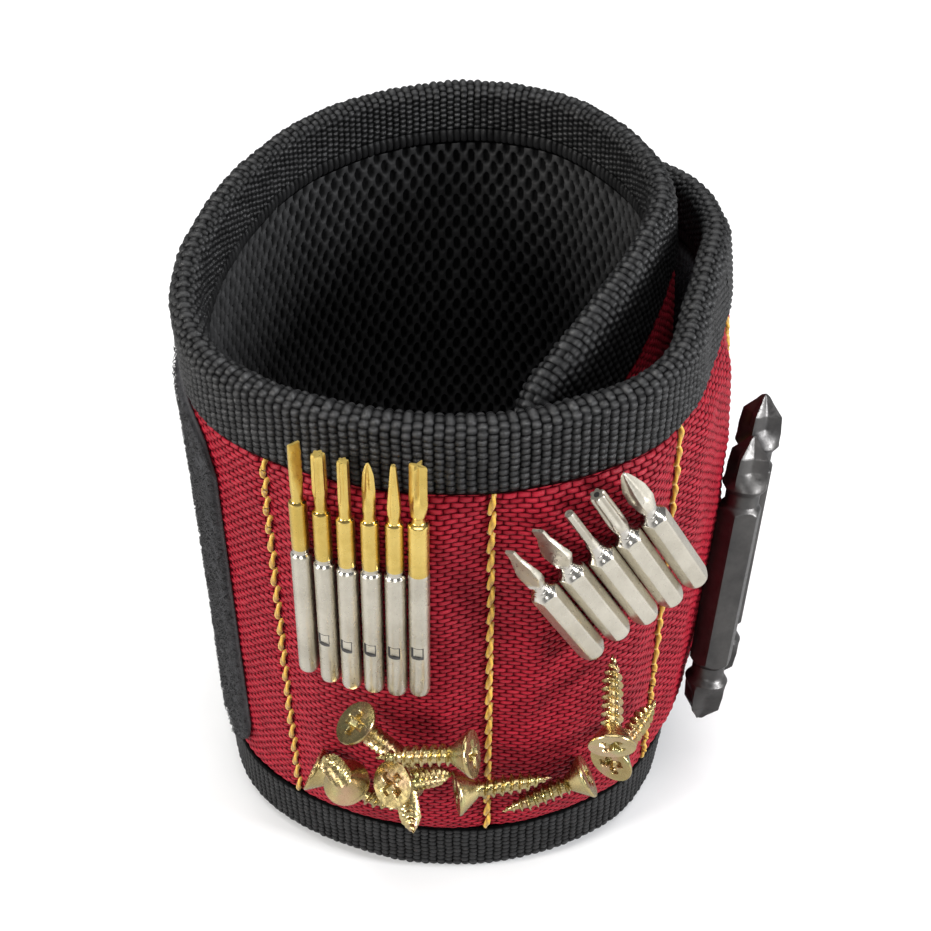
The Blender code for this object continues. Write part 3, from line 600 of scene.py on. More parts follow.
def cover_surface(along, z):
    """Offset of the cover's outer skin before the weave, puckered along the sewn columns."""
    padded = pocket(along, z)
    offset = COVER_OUT + COVER_PUFF * padded
    for seam in SEAMS:
        away = np.abs(along - seam)
        pull = 0.55 + 0.45 * np.cos(2 * np.pi * z / STITCH)
        offset = offset - 0.55 * np.exp(-((away / 0.9) ** 2)) * (0.55 + 0.45 * pull)
        ripple = np.cos(2 * np.pi * z / (2 * STITCH) + seam)
        offset = offset + 0.22 * np.exp(-away / 3.2) * np.clip(away / 1.5, 0, 1) * ripple
    offset = offset + 0.22 * waviness(along, z) * (0.4 + padded)
    # it sinks under the edge tape
    drop = edge_drop(along)
    inset = np.minimum(z - drop, BAND_H - drop - z)
    return offset - 0.62 * (1 - ease(inset, TAPE_H - 0.7, TAPE_H + 1.5))


def red_cover(k):
    every = 6
    along, z = sheet_grid(CUTS[k], CUTS[k + 1], CLOTH_H, COVER_PITCHES[k], every, cloth_edges)
    height, yarn_s, yarn_z = weave(along, z)
    base = cover_surface(along, z)
    fine = point(along, z, base - 0.22 + 0.42 * height)
    back = point(along, z, np.maximum(base - 0.75, 0.35))
    uv = np.stack([yarn_s, yarn_z], -1)
    obj = cloth_solid(f"cover_{k + 1}", fine, back, every, uv, {"height": height}, RED)
    return obj


# ------------------------------------------------------------------ black spacer mesh lining
HOLE_PITCH, HOLE_PITCH_Z = 2.9, 2.35
HOLE_HALF_W, HOLE_HALF_H = 0.66, 1.40


def mesh_holes(along, z):
    """Height and tone of the mesh: staggered upright oval holes between knitted ribs."""
    along = along + 0.15 * np.sin(z * 0.7) + 0.1 * np.sin(along * 0.4)
    nearest = np.full(np.shape(along), 9.0)
    for shift in (-1, 0, 1):
        row = np.floor(z / HOLE_PITCH_Z) + shift
        column = along / HOLE_PITCH + 0.5 * np.mod(row, 2)
        x = (column - np.floor(column) - 0.5) * HOLE_PITCH
        y = (z / HOLE_PITCH_Z - row - 0.5) * HOLE_PITCH_Z
        nearest = np.minimum(nearest, (x / HOLE_HALF_W) ** 2 + (y / HOLE_HALF_H) ** 2)
    rib = 0.5 + 0.5 * np.cos(2 * np.pi * z / 0.55 + along)
    height = 0.05 + 0.95 * ease(nearest, 0.6, 1.7) * (0.88 + 0.12 * rib)
    return height, hashed(np.floor(along / HOLE_PITCH), np.floor(z / HOLE_PITCH_Z), 5.0)


def lining_surface(along, z):
    offset = -(LINING_IN + LINING_PUFF * pocket(along, z))
    for seam in SEAMS[1:]:
        offset = offset + 0.45 * np.exp(-((along - seam) ** 2))
    return offset - 0.14 * waviness(along + 31, z + 7)


def mesh_lining(k):
    every = 6
    start = CUTS[k] if k else SEAM_TAB - 1.5
    along, z = sheet_grid(start, CUTS[k + 1], CLOTH_H, (0.33, 0.33), every, cloth_edges)
    height, tone = mesh_holes(along, z)
    base = lining_surface(along, z)
    fine = point(along, z, base + 0.62 - 0.85 * height)
    back = point(along, z, np.minimum(base + 1.15, -0.25))
    uv = np.stack([along, z], -1)
    attrs = {"height": height, "way": np.full_like(height, 0.5), "tone": tone}
    obj = cloth_solid(f"lining_{k + 1}", fine, back, every, uv, attrs, MESH)
    return obj


# ------------------------------------------------------------------ edge tape
TAPE_HALF_W, TAPE_CREST = 1.75, 1.6  # half thickness over the edge, and height of its round crest
INNER_RIB = 3.1  # length of the ribs along the tape's sewn inner edge
LOWEST_TAPE_Z = 0.30


def tape_profile():
    """The folded tape's section from outside to inside: offset and depth below the crest."""
    outer = [(TAPE_HALF_W, depth) for depth in np.arange(TAPE_H, TAPE_CREST, -0.25)]
    crest = [
        (TAPE_HALF_W * math.cos(angle), TAPE_CREST * (1 - math.sin(angle)))
        for angle in np.linspace(0, math.pi, 41)
    ]
    depths = np.arange(TAPE_CREST + 0.25, TAPE_H + 0.01, 0.25)
    return np.array(outer + crest + [(-TAPE_HALF_W, depth) for depth in depths])


PROFILE = tape_profile()
PROFILE_RUN = run_length(PROFILE)


def tape_beads(run, across, edge_at, column, bead):
    """Height and tone of the ribbed tape, in columns of knots.

    `across` is the distance from the crest, positive outside. Longer loops lie over the crest
    and longer ribs along the sewn inner edge.
    """
    run = run + 0.05 * np.sin(across * 1.3 + run * 0.05)
    i = np.floor(run / column)
    x = 2 * (run / column - i) - 1
    odd = np.mod(i, 2)
    half = np.where(odd > 0, 0.62, 1.02)  # half length of the crest loop
    away = np.abs(across)
    knot = (away - half) / bead + 0.12 * (hashed(i, 0.0, 3.0) - 0.5)
    j = np.floor(knot)
    y = np.where(away < half, across / half, 2 * (knot - j) - 1)
    j = np.where(away < half, -1, j) * np.sign(across + 1e-9)
    inner = (across < 0) & (away > edge_at - INNER_RIB)
    y = np.where(inner, 2 * (away - edge_at + INNER_RIB) / INNER_RIB - 1, y)
    j = np.where(inner, -9, j)
    body = np.sqrt(np.clip(1 - 0.96 * x * x, 0, 1))
    length = np.sqrt(np.clip(1 - 0.97 * y * y, 0, 1))
    swell = 0.88 + 0.24 * hashed(i, j, 4.0)
    crest = np.where(away < half, np.where(odd > 0, 0.90, 1.22), 1.0)
    height = body * (0.10 + 0.90 * length) * swell * crest
    # flat selvage along the sewn edges
    return height * ease(edge_at - away, 0.0, 0.9), hashed(i, j, 7.0)


def tape_solid(name, path, inward, run, pitch, rise, column, bead):
    """The tape folded over a path of (along, z) points, with its legs going `inward`."""
    every = 6
    total = PROFILE_RUN[-1]
    section_run = np.linspace(0, total, count(total, pitch, every))
    section = np.stack([np.interp(section_run, PROFILE_RUN, PROFILE[:, k]) for k in (0, 1)], 1)
    tangent = unit(np.stack([np.gradient(section[:, 0]), np.gradient(section[:, 1])], 1))
    run, across = np.broadcast_arrays(run[:, None], (total / 2 - section_run)[None, :])
    height, tone = tape_beads(run, across, total / 2, column, bead)
    sag = 0.10 * np.sin(run * 0.23 + 1.0) + 0.07 * np.sin(run * 0.51)

    def skin(lift):
        offset = section[:, 0] - lift * tangent[:, 1]
        depth = section[:, 1] + lift * tangent[:, 0]
        where = path[:, None] + inward[:, None] * depth[..., None]
        return point(where[..., 0], where[..., 1], offset)

    fine = skin(rise * height + sag * 0.5)
    back = skin(np.full_like(height, -0.55))
    attrs = {"height": np.clip(height, 0, 1.3), "way": np.zeros_like(height), "tone": tone}
    obj = cloth_solid(name, fine, back, every, np.stack([run, across], -1), attrs, TAPE)
    return obj


def tape_straight(name, start, end, z, inward_z, rise, column, bead):
    along = np.linspace(start, end, count(end - start, 0.17, 6))
    path = np.stack([along, np.full_like(along, z)], -1)
    inward = np.zeros_like(path) + (0.0, inward_z)
    return tape_solid(name, path, inward, along, 0.16, rise, column, bead)


def tape_round(name, start, tip, pitch):
    """Tape along the top edge, round the tip's two corners and back along the bottom."""
    side = 1.0 if tip > start else -1.0
    corner = tip - side * CORNER_R
    pts = [(s, BAND_H - 0.1 - float(edge_drop(s))) for s in np.linspace(start, corner, 160)]
    top = pts[-1][1]
    for k in range(1, 33):
        turn = math.pi / 2 * k / 32
        s = corner + side * CORNER_R * math.sin(turn)
        pts.append((s, top - CORNER_R * (1 - math.cos(turn))))
    pts += [(tip, z) for z in np.linspace(pts[-1][1], BAND_H / 2, 40)[1:-1]]
    mirrored = [(s, BAND_H - z) for s, z in reversed(pts)]
    corners = np.array(pts + [(tip, BAND_H / 2)] + mirrored)
    corners[-1, 1] = max(corners[-1, 1], LOWEST_TAPE_Z)
    length = run_length(corners)
    run = np.linspace(0, length[-1], count(length[-1], pitch, 6))
    path = np.stack([np.interp(run, length, corners[:, k]) for k in (0, 1)], 1)
    path[:, 1] = np.maximum(path[:, 1], LOWEST_TAPE_Z)
    ahead = unit(np.stack([np.gradient(path[:, 0]), np.gradient(path[:, 1])], 1))
    inward = side * np.stack([ahead[:, 1], -ahead[:, 0]], 1)
    # the ends meet the straight tapes squarely
    inward[:3] = (0.0, -1.0)
    inward[-3:] = (0.0, 1.0)
    return tape_solid(name, path, inward, start + side * run, pitch, 0.60, column=1.36, bead=1.02)


covers = [red_cover(k) for k in range(6)]
linings = [mesh_lining(k) for k in range(6)]
tops = [
    tape_straight(
        f"top_tape_{k + 1}", CUTS[k], CUTS[k + 1],
        z=BAND_H - 0.1, inward_z=-1.0, rise=0.62, column=1.36, bead=1.02,
    )
    for k in range(1, 5)
]
bottoms = [
    tape_straight(
        f"bottom_tape_{k + 1}", CUTS[k], CUTS[k + 1],
        z=LOWEST_TAPE_Z, inward_z=1.0, rise=0.42, column=1.3, bead=1.1,
    )
    for k in range(1, 5)
]
tab_tape = tape_round("fastening_end_tape", CUTS[1], 0.0, pitch=0.20)
end_tape = tape_round("inner_end_tape", CUTS[5], END, pitch=0.22)

for kind, pieces in (("_cover", covers), ("_lining", linings)):
    for k, piece in enumerate(pieces):
        bend_across(piece, k)
        # the last piece covers two panels; the first lining stands in for none
        if k or kind == "_cover":
            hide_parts(*(panel + kind for panel in PANELS[k : k + 1 + (k == 5)]))
for k, pair in enumerate(zip(tops, bottoms), start=1):
    for piece, kind in zip(pair, ("_top_binding", "_bottom_binding")):
        bend_across(piece, k)
        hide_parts(PANELS[k] + kind)
bend_across(tab_tape, 0)
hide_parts("fastening_end_binding")
bend_across(end_tape, 5)
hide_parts("inner_end_binding", "back_top_binding", "back_bottom_binding")


# ------------------------------------------------------------------ yellow stitch columns
def path_direction(path):
    return unit(np.gradient(path, axis=0))


def rings_round(path, ahead, sideways, angles, radii):
    """Rings of points round a path."""
    sideways = unit(sideways)
    upright = np.cross(ahead, sideways)
    x, y = ((radii * turn(angles))[..., None] for turn in (np.cos, np.sin))
    return path[:, None] + x * sideways[:, None] + y * upright[:, None]


def twisted(path, radius, twist, plies):
    """Rings and heights of a plied thread along a path, thinner at both ends."""
    ahead = path_direction(path)
    sideways = np.cross(ahead, (0.0, 0.0, 1.0))
    steep = np.linalg.norm(sideways, axis=1) < 0.2
    sideways[steep] = np.cross(ahead[steep], (1.0, 0.0, 0.0))
    angles = np.linspace(0, 2 * np.pi, 12, endpoint=False)
    share = np.arange(len(path))[:, None] / (len(path) - 1)
    taper = radius * (1 - 0.40 * np.abs(2 * share - 1) ** 5)
    lobe = 0.5 + 0.5 * np.cos(plies * (angles + twist * run_length(path)[:, None]))
    return rings_round(path, ahead, sideways, angles, taper * (0.66 + 0.42 * lobe)), lobe


def ring_faces(index):
    """Quads between closed rings of point numbers."""
    after = np.roll(index, -1, axis=1)
    return np.stack([index[:-1], after[:-1], after[1:], index[1:]], -1).reshape(-1, 4)


def tubes(name, all_rings, heights, mat):
    """One mesh of many tubes with flat ends."""
    faces = []
    base = 0
    for rings in all_rings:
        rows, around = rings.shape[:2]
        index = base + np.arange(rows * around).reshape(rows, around)
        faces += [ring_faces(index), index[:1, ::-1], index[-1:]]
        base += rows * around
    verts = np.concatenate([rings.reshape(-1, 3) for rings in all_rings])
    attrs = {"height": np.concatenate([values.ravel() for values in heights])}
    return make_mesh(name, verts, faces, [mat], attrs=attrs)


def stitch_column(name, k):
    """Slanted stitches outside and, but for the first column, straight ones on the lining."""
    seam = SEAMS[k]
    low, top = TAPE_H + 0.2, BAND_H - TAPE_H - 0.2
    threads = []
    for j, start in enumerate(np.arange(low, top - 1.0, STITCH)):
        end = min(start + STITCH, top + 0.4)
        centre = seam + 0.14 * (hashed(j, seam, 9.0) - 0.5)
        share = np.linspace(0, 1, 15)
        lift = np.sin(np.pi * share) ** 0.5
        z = start + (end - start) * (-0.05 + 1.10 * share)
        slanted = centre + 0.378 * (1 - 2 * share)
        outside = point(slanted, z, COVER_OUT - 0.62 + 0.86 * lift)
        threads.append(twisted(outside, radius=0.44, twist=2.2, plies=2))
        if seam != SEAM_TAB:
            inside = point(centre, z, -(COVER_OUT - 0.60) - 0.62 * lift)
            threads.append(twisted(inside, radius=0.30, twist=2.6, plies=3))
    obj = tubes(name, *zip(*threads), THREAD)
    bend_across(obj, k)


for k, place_name in enumerate(("fastening", "right", "front", "left")):
    stitch_column("stitching_" + place_name, k)

# ------------------------------------------------------------------ loop pile patch
LOOP_FROM, LOOP_TO, LOOP_LOW, LOOP_HIGH, LOOP_R = 168.3, 311.0, 12.2, 82.8, 8.0


def loop_edges(along):
    """Low and high edges of the round-cornered loop patch."""
    cut = corner_cut(np.minimum(along - LOOP_FROM, LOOP_TO - along), LOOP_R)
    return LOOP_LOW + cut, LOOP_HIGH - cut


def loop_pad():
    every = 4
    height = LOOP_HIGH - LOOP_LOW
    along, z = sheet_grid(LOOP_FROM, LOOP_TO, height, (0.55, 0.55), every, loop_edges)
    low, high = loop_edges(along)
    inset = np.minimum(np.minimum(along - LOOP_FROM, LOOP_TO - along), np.minimum(z - low, high - z))
    fuzz = rng.random(along.shape) * 0.30 + 0.25 * waviness(along * 2.1, z * 1.9)
    offset = 2.62 + 0.30 * np.clip(inset / 1.2, 0, 1) ** 0.5 + 0.25 * fuzz
    offset = offset - 0.45 * np.clip(1 - inset / 0.5, 0, 1)
    pale = np.where(inset < 0.35, 1.5, 0.3)
    attrs = {"height": pale, "way": pale * 0, "tone": pale * 0}
    fine, back = point(along, z, offset), point(along, z, 1.95)
    return cloth_solid("loop_patch", fine, back, every, np.stack([along, z], -1), attrs, LOOP)


def loop_fuzz():
    """Thousands of small standing loops of filament over the pile, triangular in section."""
    tries = 30000
    along = rng.uniform(LOOP_FROM + 0.2, LOOP_TO - 0.2, tries)
    z = rng.uniform(LOOP_LOW + 0.2, LOOP_HIGH - 0.2, tries)
    low, high = loop_edges(along)
    keep = (z > low + 0.15) & (z < high - 0.15)
    along, z = along[keep, None], z[keep, None]
    total = len(along)
    angle = rng.uniform(0, np.pi, total)[:, None]
    size = rng.uniform(0.30, 0.85, total)[:, None]
    tall = rng.uniform(0.20, 0.75, total)[:, None]
    share = np.linspace(0, 1, 5)
    along = along + np.cos(angle) * size * (share - 0.5) * 2
    z = z + np.sin(angle) * size * (share - 0.5) * 2
    offset = 2.75 + tall * np.sin(np.pi * share)
    width = 0.085
    core = point(along, z, offset)
    side = point(along - width * np.sin(angle), z + width * np.cos(angle), offset + 0.02)
    top = point(along, z, offset + 0.10)
    verts = np.stack([core, side, top], 2)
    index = np.arange(total * 15).reshape(total, 5, 3)
    faces = [
        np.stack([index[:, :-1, a], index[:, 1:, a], index[:, 1:, b], index[:, :-1, b]], -1)
        .reshape(-1, 4)
        for a, b in ((0, 1), (1, 2), (2, 0))
    ]
    faces += [index[:, 0, ::-1], index[:, -1]]
    attrs = {"height": np.full(total * 15, 0.6)}
    return make_mesh("loop_pile", verts.reshape(-1, 3), faces, [FIBRE], attrs=attrs)


pad, pile = loop_pad(), loop_fuzz()
for obj in (pad, pile):
    bend_across(obj, 4)
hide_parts("side_left_loop_patch", "back_loop_patch")

# ------------------------------------------------------------------ hook patch
HOOK_PITCH, HOOK_PITCH_Z, HOOK_R = 1.6, 1.35, 0.10
# one hook, base to tip: steps along the band, up it, and in from its inner face
HOOK_PATH = np.array(((0, 0, 0), (0.02, 0.25, 0.40), (0.12, 0.9, 0.72), (0.25, 1.4, 0.66), (0.25, 1.9, 0.42)))


def hook_sheet():
    every = 4
    end = SEAM_TAB - 0.5
    along, z = sheet_grid(TIP_INSET, end, CLOTH_H, (0.5, 0.5), every, cloth_edges)
    inset = np.minimum(z, BAND_H - z) - edge_drop(along)
    raised = ease(along, 11.2, 12.2) * ease(inset, TAPE_H + 0.4, TAPE_H + 1.4)
    raised = raised * ease(along, SEAM_TAB - 2.2, SEAM_TAB - 3.4)
    rib = 0.5 + 0.5 * np.cos(2 * np.pi * along / HOOK_PITCH)
    height = 0.4 + 0.6 * rib
    tone = hashed(np.floor(along / HOOK_PITCH), np.floor(z), 1.0)
    attrs = {"height": height, "way": height * 0, "tone": tone}
    fine = point(along, z, -1.45 - 0.55 * raised - 0.10 * rib * raised)
    back = point(along, z, -0.5)
    return cloth_solid("hook_patch", fine, back, every, np.stack([along, z], -1), attrs, HOOK)


def hook_pile():
    angles = np.linspace(0, 2 * np.pi, 4, endpoint=False)
    rings = []
    for column in np.arange(13.0, SEAM_TAB - 4, HOOK_PITCH):
        low = float(edge_drop(column)) + TAPE_H + 2.2
        lean = 0.32 if int(column / HOOK_PITCH) % 2 else -0.32
        for z in np.arange(low, BAND_H - low, HOOK_PITCH_Z):
            step_along, step_z, step_in = HOOK_PATH.T
            path = point(column + step_along, z + lean * step_z, -2.0 - step_in)
            ahead = path_direction(path)
            sideways = np.cross(ahead, (0.3, 0.4, 1.0))
            rings.append(rings_round(path, ahead, sideways, angles, HOOK_R))
    return tubes("hook_pile", rings, [np.ones(each.shape[:2]) for each in rings], HOOK)


sheet, hooks = hook_sheet(), hook_pile()
for obj in (sheet, hooks):
    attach(obj, "fastening_end")
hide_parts("fastening_end_hook_patch")


# ------------------------------------------------------------------ turned and milled bodies
def frame_from(axis, hint, origin):
    """A frame with z along the axis and x as near the hint as it can be."""
    z = Vector(axis).normalized()
    x = Vector(hint)
    x = (x - z * x.dot(z)).normalized()
    matrix = Matrix((x, z.cross(x), z)).transposed().to_4x4()
    matrix.translation = Vector(origin)
    return matrix


def capped_body(name, rows, end_heights, matrix, mats, sharp_degrees, mat_index=None):
    """A body of closed rings, each end closed to a point on the axis."""
    matrix = np.array(matrix)
    ends = [(0, 0, z) for z in end_heights]
    verts = np.concatenate([rows.reshape(-1, 3), ends]) @ matrix[:3, :3].T + matrix[:3, 3]
    total, around = len(verts), rows.shape[1]
    index = np.arange(total - 2).reshape(-1, around)
    after = np.roll(index, -1, axis=1)
    first = np.stack([np.full(around, total - 2), after[0], index[0]], -1)
    last = np.stack([np.full(around, total - 1), index[-1], after[-1]], -1)
    faces = [ring_faces(index), first, last]
    obj = make_mesh(name, verts, faces, mats, mat_index=mat_index)
    obj.data.set_sharp_from_angle(angle=math.radians(sharp_degrees))
    return obj


def turned(name, heights, radius, matrix, around, mats, mat_of=None, mark=None):
    """A closed body whose radius is a function of height and angle.

    `mat_of` picks a material by height; `mark` picks the faces that take the last material.
    """
    heights = np.asarray(heights, float)
    angles = np.linspace(0, 2 * np.pi, around, endpoint=False)
    height, angle = np.meshgrid(heights, angles, indexing="ij")
    reach = radius(height, angle)
    rows = np.stack([reach * np.cos(angle), reach * np.sin(angle), height], -1)
    index = None
    if mat_of is not None:
        middles = (heights[:-1] + heights[1:]) / 2
        index = np.repeat([mat_of(middle) for middle in middles], around)
        if mark is not None:
            grids = np.meshgrid(middles, angles + np.pi / around, indexing="ij")
            index = np.where(mark(*grids).ravel(), len(mats) - 1, index)
        ends = [np.full(around, mat_of(heights[k])) for k in (0, -1)]
        index = np.concatenate([index, *ends])
    return capped_body(name, rows, heights[[0, -1]], matrix, mats, 27, index)


def stand_in(obj, name, group):
    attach(obj, group)
    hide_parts(name)


def profile(points):
    heights, radii = zip(*points)
    return lambda height: np.interp(height, heights, radii)


def hexagon(angle, corner):
    """Radius of a hexagon with slightly rounded corners."""
    apothem = corner * math.cos(math.pi / 6)
    from_corner = np.mod(angle + np.pi / 6, np.pi / 3) - np.pi / 6
    flat = apothem / np.cos(np.mod(angle, np.pi / 3) - np.pi / 6)
    return np.minimum(flat, corner * (1 - 0.012 * np.exp(-((from_corner / 0.06) ** 2))))


def slab(angle, half):
    """Radius of a flat blade of half thickness `half`."""
    return half / np.maximum(np.abs(np.sin(angle)), 1e-3)


def cross_cut(angle, depth, power):
    return 1 - depth * np.abs(np.sin(2 * angle)) ** power


def six_lobes(angle, depth):
    return 1 - depth * (0.5 - 0.5 * np.cos(6 * angle))


def levels(*parts):
    """Heights from (start, end, steps) spans that follow one another."""
    spans = [np.linspace(*part, endpoint=False) for part in parts]
    return np.unique(np.round(np.concatenate(spans + [[parts[-1][1]]]), 4))


# ------------------------------------------------------------------ fine bits
# tip along, tip z, foot along, foot z, kind of tip
FINE_BITS = (
    (149.9, 92.0, 150.9, 49.3, "blade"),
    (146.6, 91.6, 147.6, 48.6, "lobe"),
    (143.5, 91.5, 144.5, 48.4, "small_lobe"),
    (140.6, 91.7, 141.4, 48.7, "cross"),
    (137.7, 91.7, 138.4, 48.8, "taper"),
    (134.8, 92.0, 135.4, 49.1, "wide"),
)
FINE_TIP_OFFSET, FINE_FOOT_OFFSET = 5.9, 5.2
FINE_L, FINE_R = 43.0, 1.50
FINE_NECK = FINE_L * 0.775
NOTCH_Z, NOTCH_HALF_H, NOTCH_HALF_ANGLE = 9.4, 1.0, 0.60


def fine_tip(kind, share, angle):
    """Tip radius over the body's; share runs from 0 at the neck to 1 at the tip."""
    if kind == "blade":
        half = np.interp(share, (0.1, 0.45, 1.0), (0.9, 0.42, 0.20)) / FINE_R
        envelope = np.interp(share, (0, 0.3, 0.9, 1.0), (0.56, 0.60, 0.62, 0.58))
        return np.minimum(envelope, slab(angle + 0.5, half))
    if kind == "cross":
        stations = (0, 0.2, 0.55, 0.8, 0.95, 1.0)
        envelope = np.interp(share, stations, (0.56, 0.60, 0.62, 0.52, 0.26, 0.10))
        depth = np.interp(share, (0.2, 0.6, 1.0), (0.0, 0.42, 0.5))
        return envelope * cross_cut(angle, depth, 0.8)
    if kind == "taper":
        envelope = np.interp(share, (0, 0.25, 0.3, 0.95, 1.0), (0.56, 0.66, 0.66, 0.30, 0.22))
        return envelope * six_lobes(angle, 0.14)
    if kind == "wide":
        envelope = np.interp(share, (0, 0.15, 0.35, 0.97, 1.0), (0.56, 0.72, 1.0, 0.98, 0.90))
        depth = np.interp(share, (0.15, 0.5), (0.0, 0.66))
        return envelope * cross_cut(angle + 0.3, depth, 0.65)
    big = 0.70 if kind == "lobe" else 0.58
    radii = (0.56, 0.58, big, big * 0.95, big * 0.86)
    envelope = np.interp(share, (0, 0.22, 0.35, 0.97, 1.0), radii)
    return envelope * six_lobes(angle, np.interp(share, (0.2, 0.4), (0.0, 0.26)))


def from_notch(angle):
    """Angle from the middle of the notch near the foot."""
    return np.mod(angle + 0.12 + np.pi, 2 * np.pi) - np.pi


def fine_bit(name, tip_along, tip_z, foot_along, foot_z, kind):
    tip = Vector(point(tip_along, tip_z, FINE_TIP_OFFSET))
    foot = Vector(point(foot_along, foot_z, FINE_FOOT_OFFSET))
    out = local_axes(foot_along, foot_z + 20)[2]
    wide = kind == "wide"
    shoulder = FINE_L * (0.56 if wide else 0.555)
    gold_from = FINE_L * (0.56 if wide else 0.575)
    neck = FINE_NECK
    sleeve = 0.96 if wide else 0.84
    # height, radius over the body's
    body = profile((
        (0, 0.55), (0.12, 0.74), (0.45, 0.93), (0.9, 1), (shoulder - 0.35, 1),
        (shoulder, 0.97 if wide else 0.86), (shoulder + 0.1, 0.96 if wide else 0.78),
        (gold_from + 0.3, sleeve), (neck - 0.5, sleeve), (neck - 0.25, 0.9 if wide else 0.80),
        (neck + 0.05, 0.56), (neck + 0.5, 0.54), (FINE_L * 0.82, 0.56), (FINE_L, 0.56),
    ))

    def radius(height, angle):
        share = (height - neck) / (FINE_L - neck)
        reach = np.where(share > 0.12, fine_tip(kind, share, angle), body(height)) * FINE_R
        if kind != "blade":
            # a shallow milled notch near the foot, facing out
            turn = from_notch(angle)
            notch = (np.abs(height - NOTCH_Z) < NOTCH_HALF_H) & (np.abs(turn) < NOTCH_HALF_ANGLE)
            floor = 0.76 * FINE_R / np.maximum(np.cos(turn), 0.3)
            reach = np.where(notch, np.minimum(reach, floor), reach)
        return reach

    def mat_of(height):
        if abs(height - (shoulder + 0.02)) < 0.28 and not wide:
            return 2
        if abs(height - (neck - 0.2)) < 0.2:
            return 3
        return 1 if height > gold_from else 0

    # the dark steel on the faces along the notch's rim is a painted shadow line round the notch
    def notch_rim_shade(height, angle):
        turn, rise = np.abs(from_notch(angle)), np.abs(height - NOTCH_Z)
        ends = (np.abs(rise - 0.98) < 0.12) & (turn < NOTCH_HALF_ANGLE)
        return ends | ((np.abs(turn - NOTCH_HALF_ANGLE) < 0.07) & (rise < NOTCH_HALF_H))

    heights = levels(
        (0, 0.9, 8), (0.9, 7.9, 8), (7.9, 10.9, 26), (10.9, shoulder - 0.5, 10),
        (shoulder - 0.5, shoulder + 0.9, 10), (shoulder + 0.9, neck - 0.6, 6),
        (neck - 0.6, neck + 0.6, 10), (neck + 0.6, FINE_L, 26),
    )
    matrix = frame_from((tip - foot).normalized(), out, foot)
    mats = [NICKEL, GOLD, NICKEL_BRIGHT, GOLD_BRIGHT, GUN_AND_SHADE]
    mark = None if kind == "blade" else notch_rim_shade
    obj = turned(name + "_detailed", heights, radius, matrix, 72, mats, mat_of, mark)
    stand_in(obj, name, "fine_bits")


for number, spec in enumerate(FINE_BITS, start=1):
    fine_bit(f"fine_bit_{number}", *spec)

# ------------------------------------------------------------------ hexagonal bits in a leaning row
RAFT_AT, RAFT_LEAN = (112.0, 68.0, 5.75), math.radians(-29.6)
# centre across and up from the row's middle, kind of tip
HEX_BITS = (
    (-7.5, -1.6, "blade"),
    (-3.4, 0.6, "blade_wide"),
    (1.2, 1.9, "rod"),
    (5.3, 3.7, "lobe"),
    (9.2, 6.0, "cross"),
)
HEX_R, HEX_L = 2.2, 28.5
HEX_BODY = HEX_L * 0.60
# height, radius over the hexagon's
HEX_CONE = profile((
    (0, 0.78), (0.15, 0.84), (0.7, 0.97), (1.1, 1.02), (HEX_BODY, 1.02), (HEX_BODY + 0.25, 0.98),
    (HEX_BODY + 1.2, 0.66), (HEX_BODY + 2.0, 0.50), (HEX_BODY + 2.6, 0.46), (HEX_L, 0.46),
))


def hex_tip(kind, share, angle):
    """Tip radius over the hexagon's; share runs from 0 on the cone to 1 at the tip."""
    if kind.startswith("blade"):
        wide = 1.25 if kind == "blade_wide" else 1.0
        radii = (0.56, 0.58, 0.80 * wide, 0.62 * wide, 0.36 * wide, 0.32 * wide)
        envelope = np.interp(share, (0, 0.12, 0.35, 0.60, 0.8, 1.0), radii)
        half = np.interp(share, (0, 0.2, 0.6, 1.0), (1.4, 0.75, 0.36, 0.22)) / HEX_R
        return np.minimum(envelope, slab(angle + 0.9, half))
    if kind == "rod":
        envelope = np.interp(share, (0, 0.12, 0.3, 0.98, 1.0), (0.56, 0.44, 0.33, 0.32, 0.27))
        return np.where(share > 0.3, np.minimum(hexagon(angle + 0.3, 0.34), envelope), envelope)
    if kind == "lobe":
        stations = (0, 0.1, 0.3, 0.35, 0.98, 1.0)
        envelope = np.interp(share, stations, (0.56, 0.55, 0.60, 0.60, 0.54, 0.48))
        return envelope * six_lobes(angle, np.interp(share, (0.2, 0.4), (0.0, 0.26)))
    stations = (0, 0.08, 0.35, 0.62, 0.85, 0.97, 1.0)
    envelope = np.interp(share, stations, (0.56, 0.58, 0.86, 0.80, 0.48, 0.24, 0.08))
    depth = np.interp(share, (0.1, 0.45, 1.0), (0.0, 0.48, 0.52))
    return envelope * cross_cut(angle + 0.35, depth, 0.75)


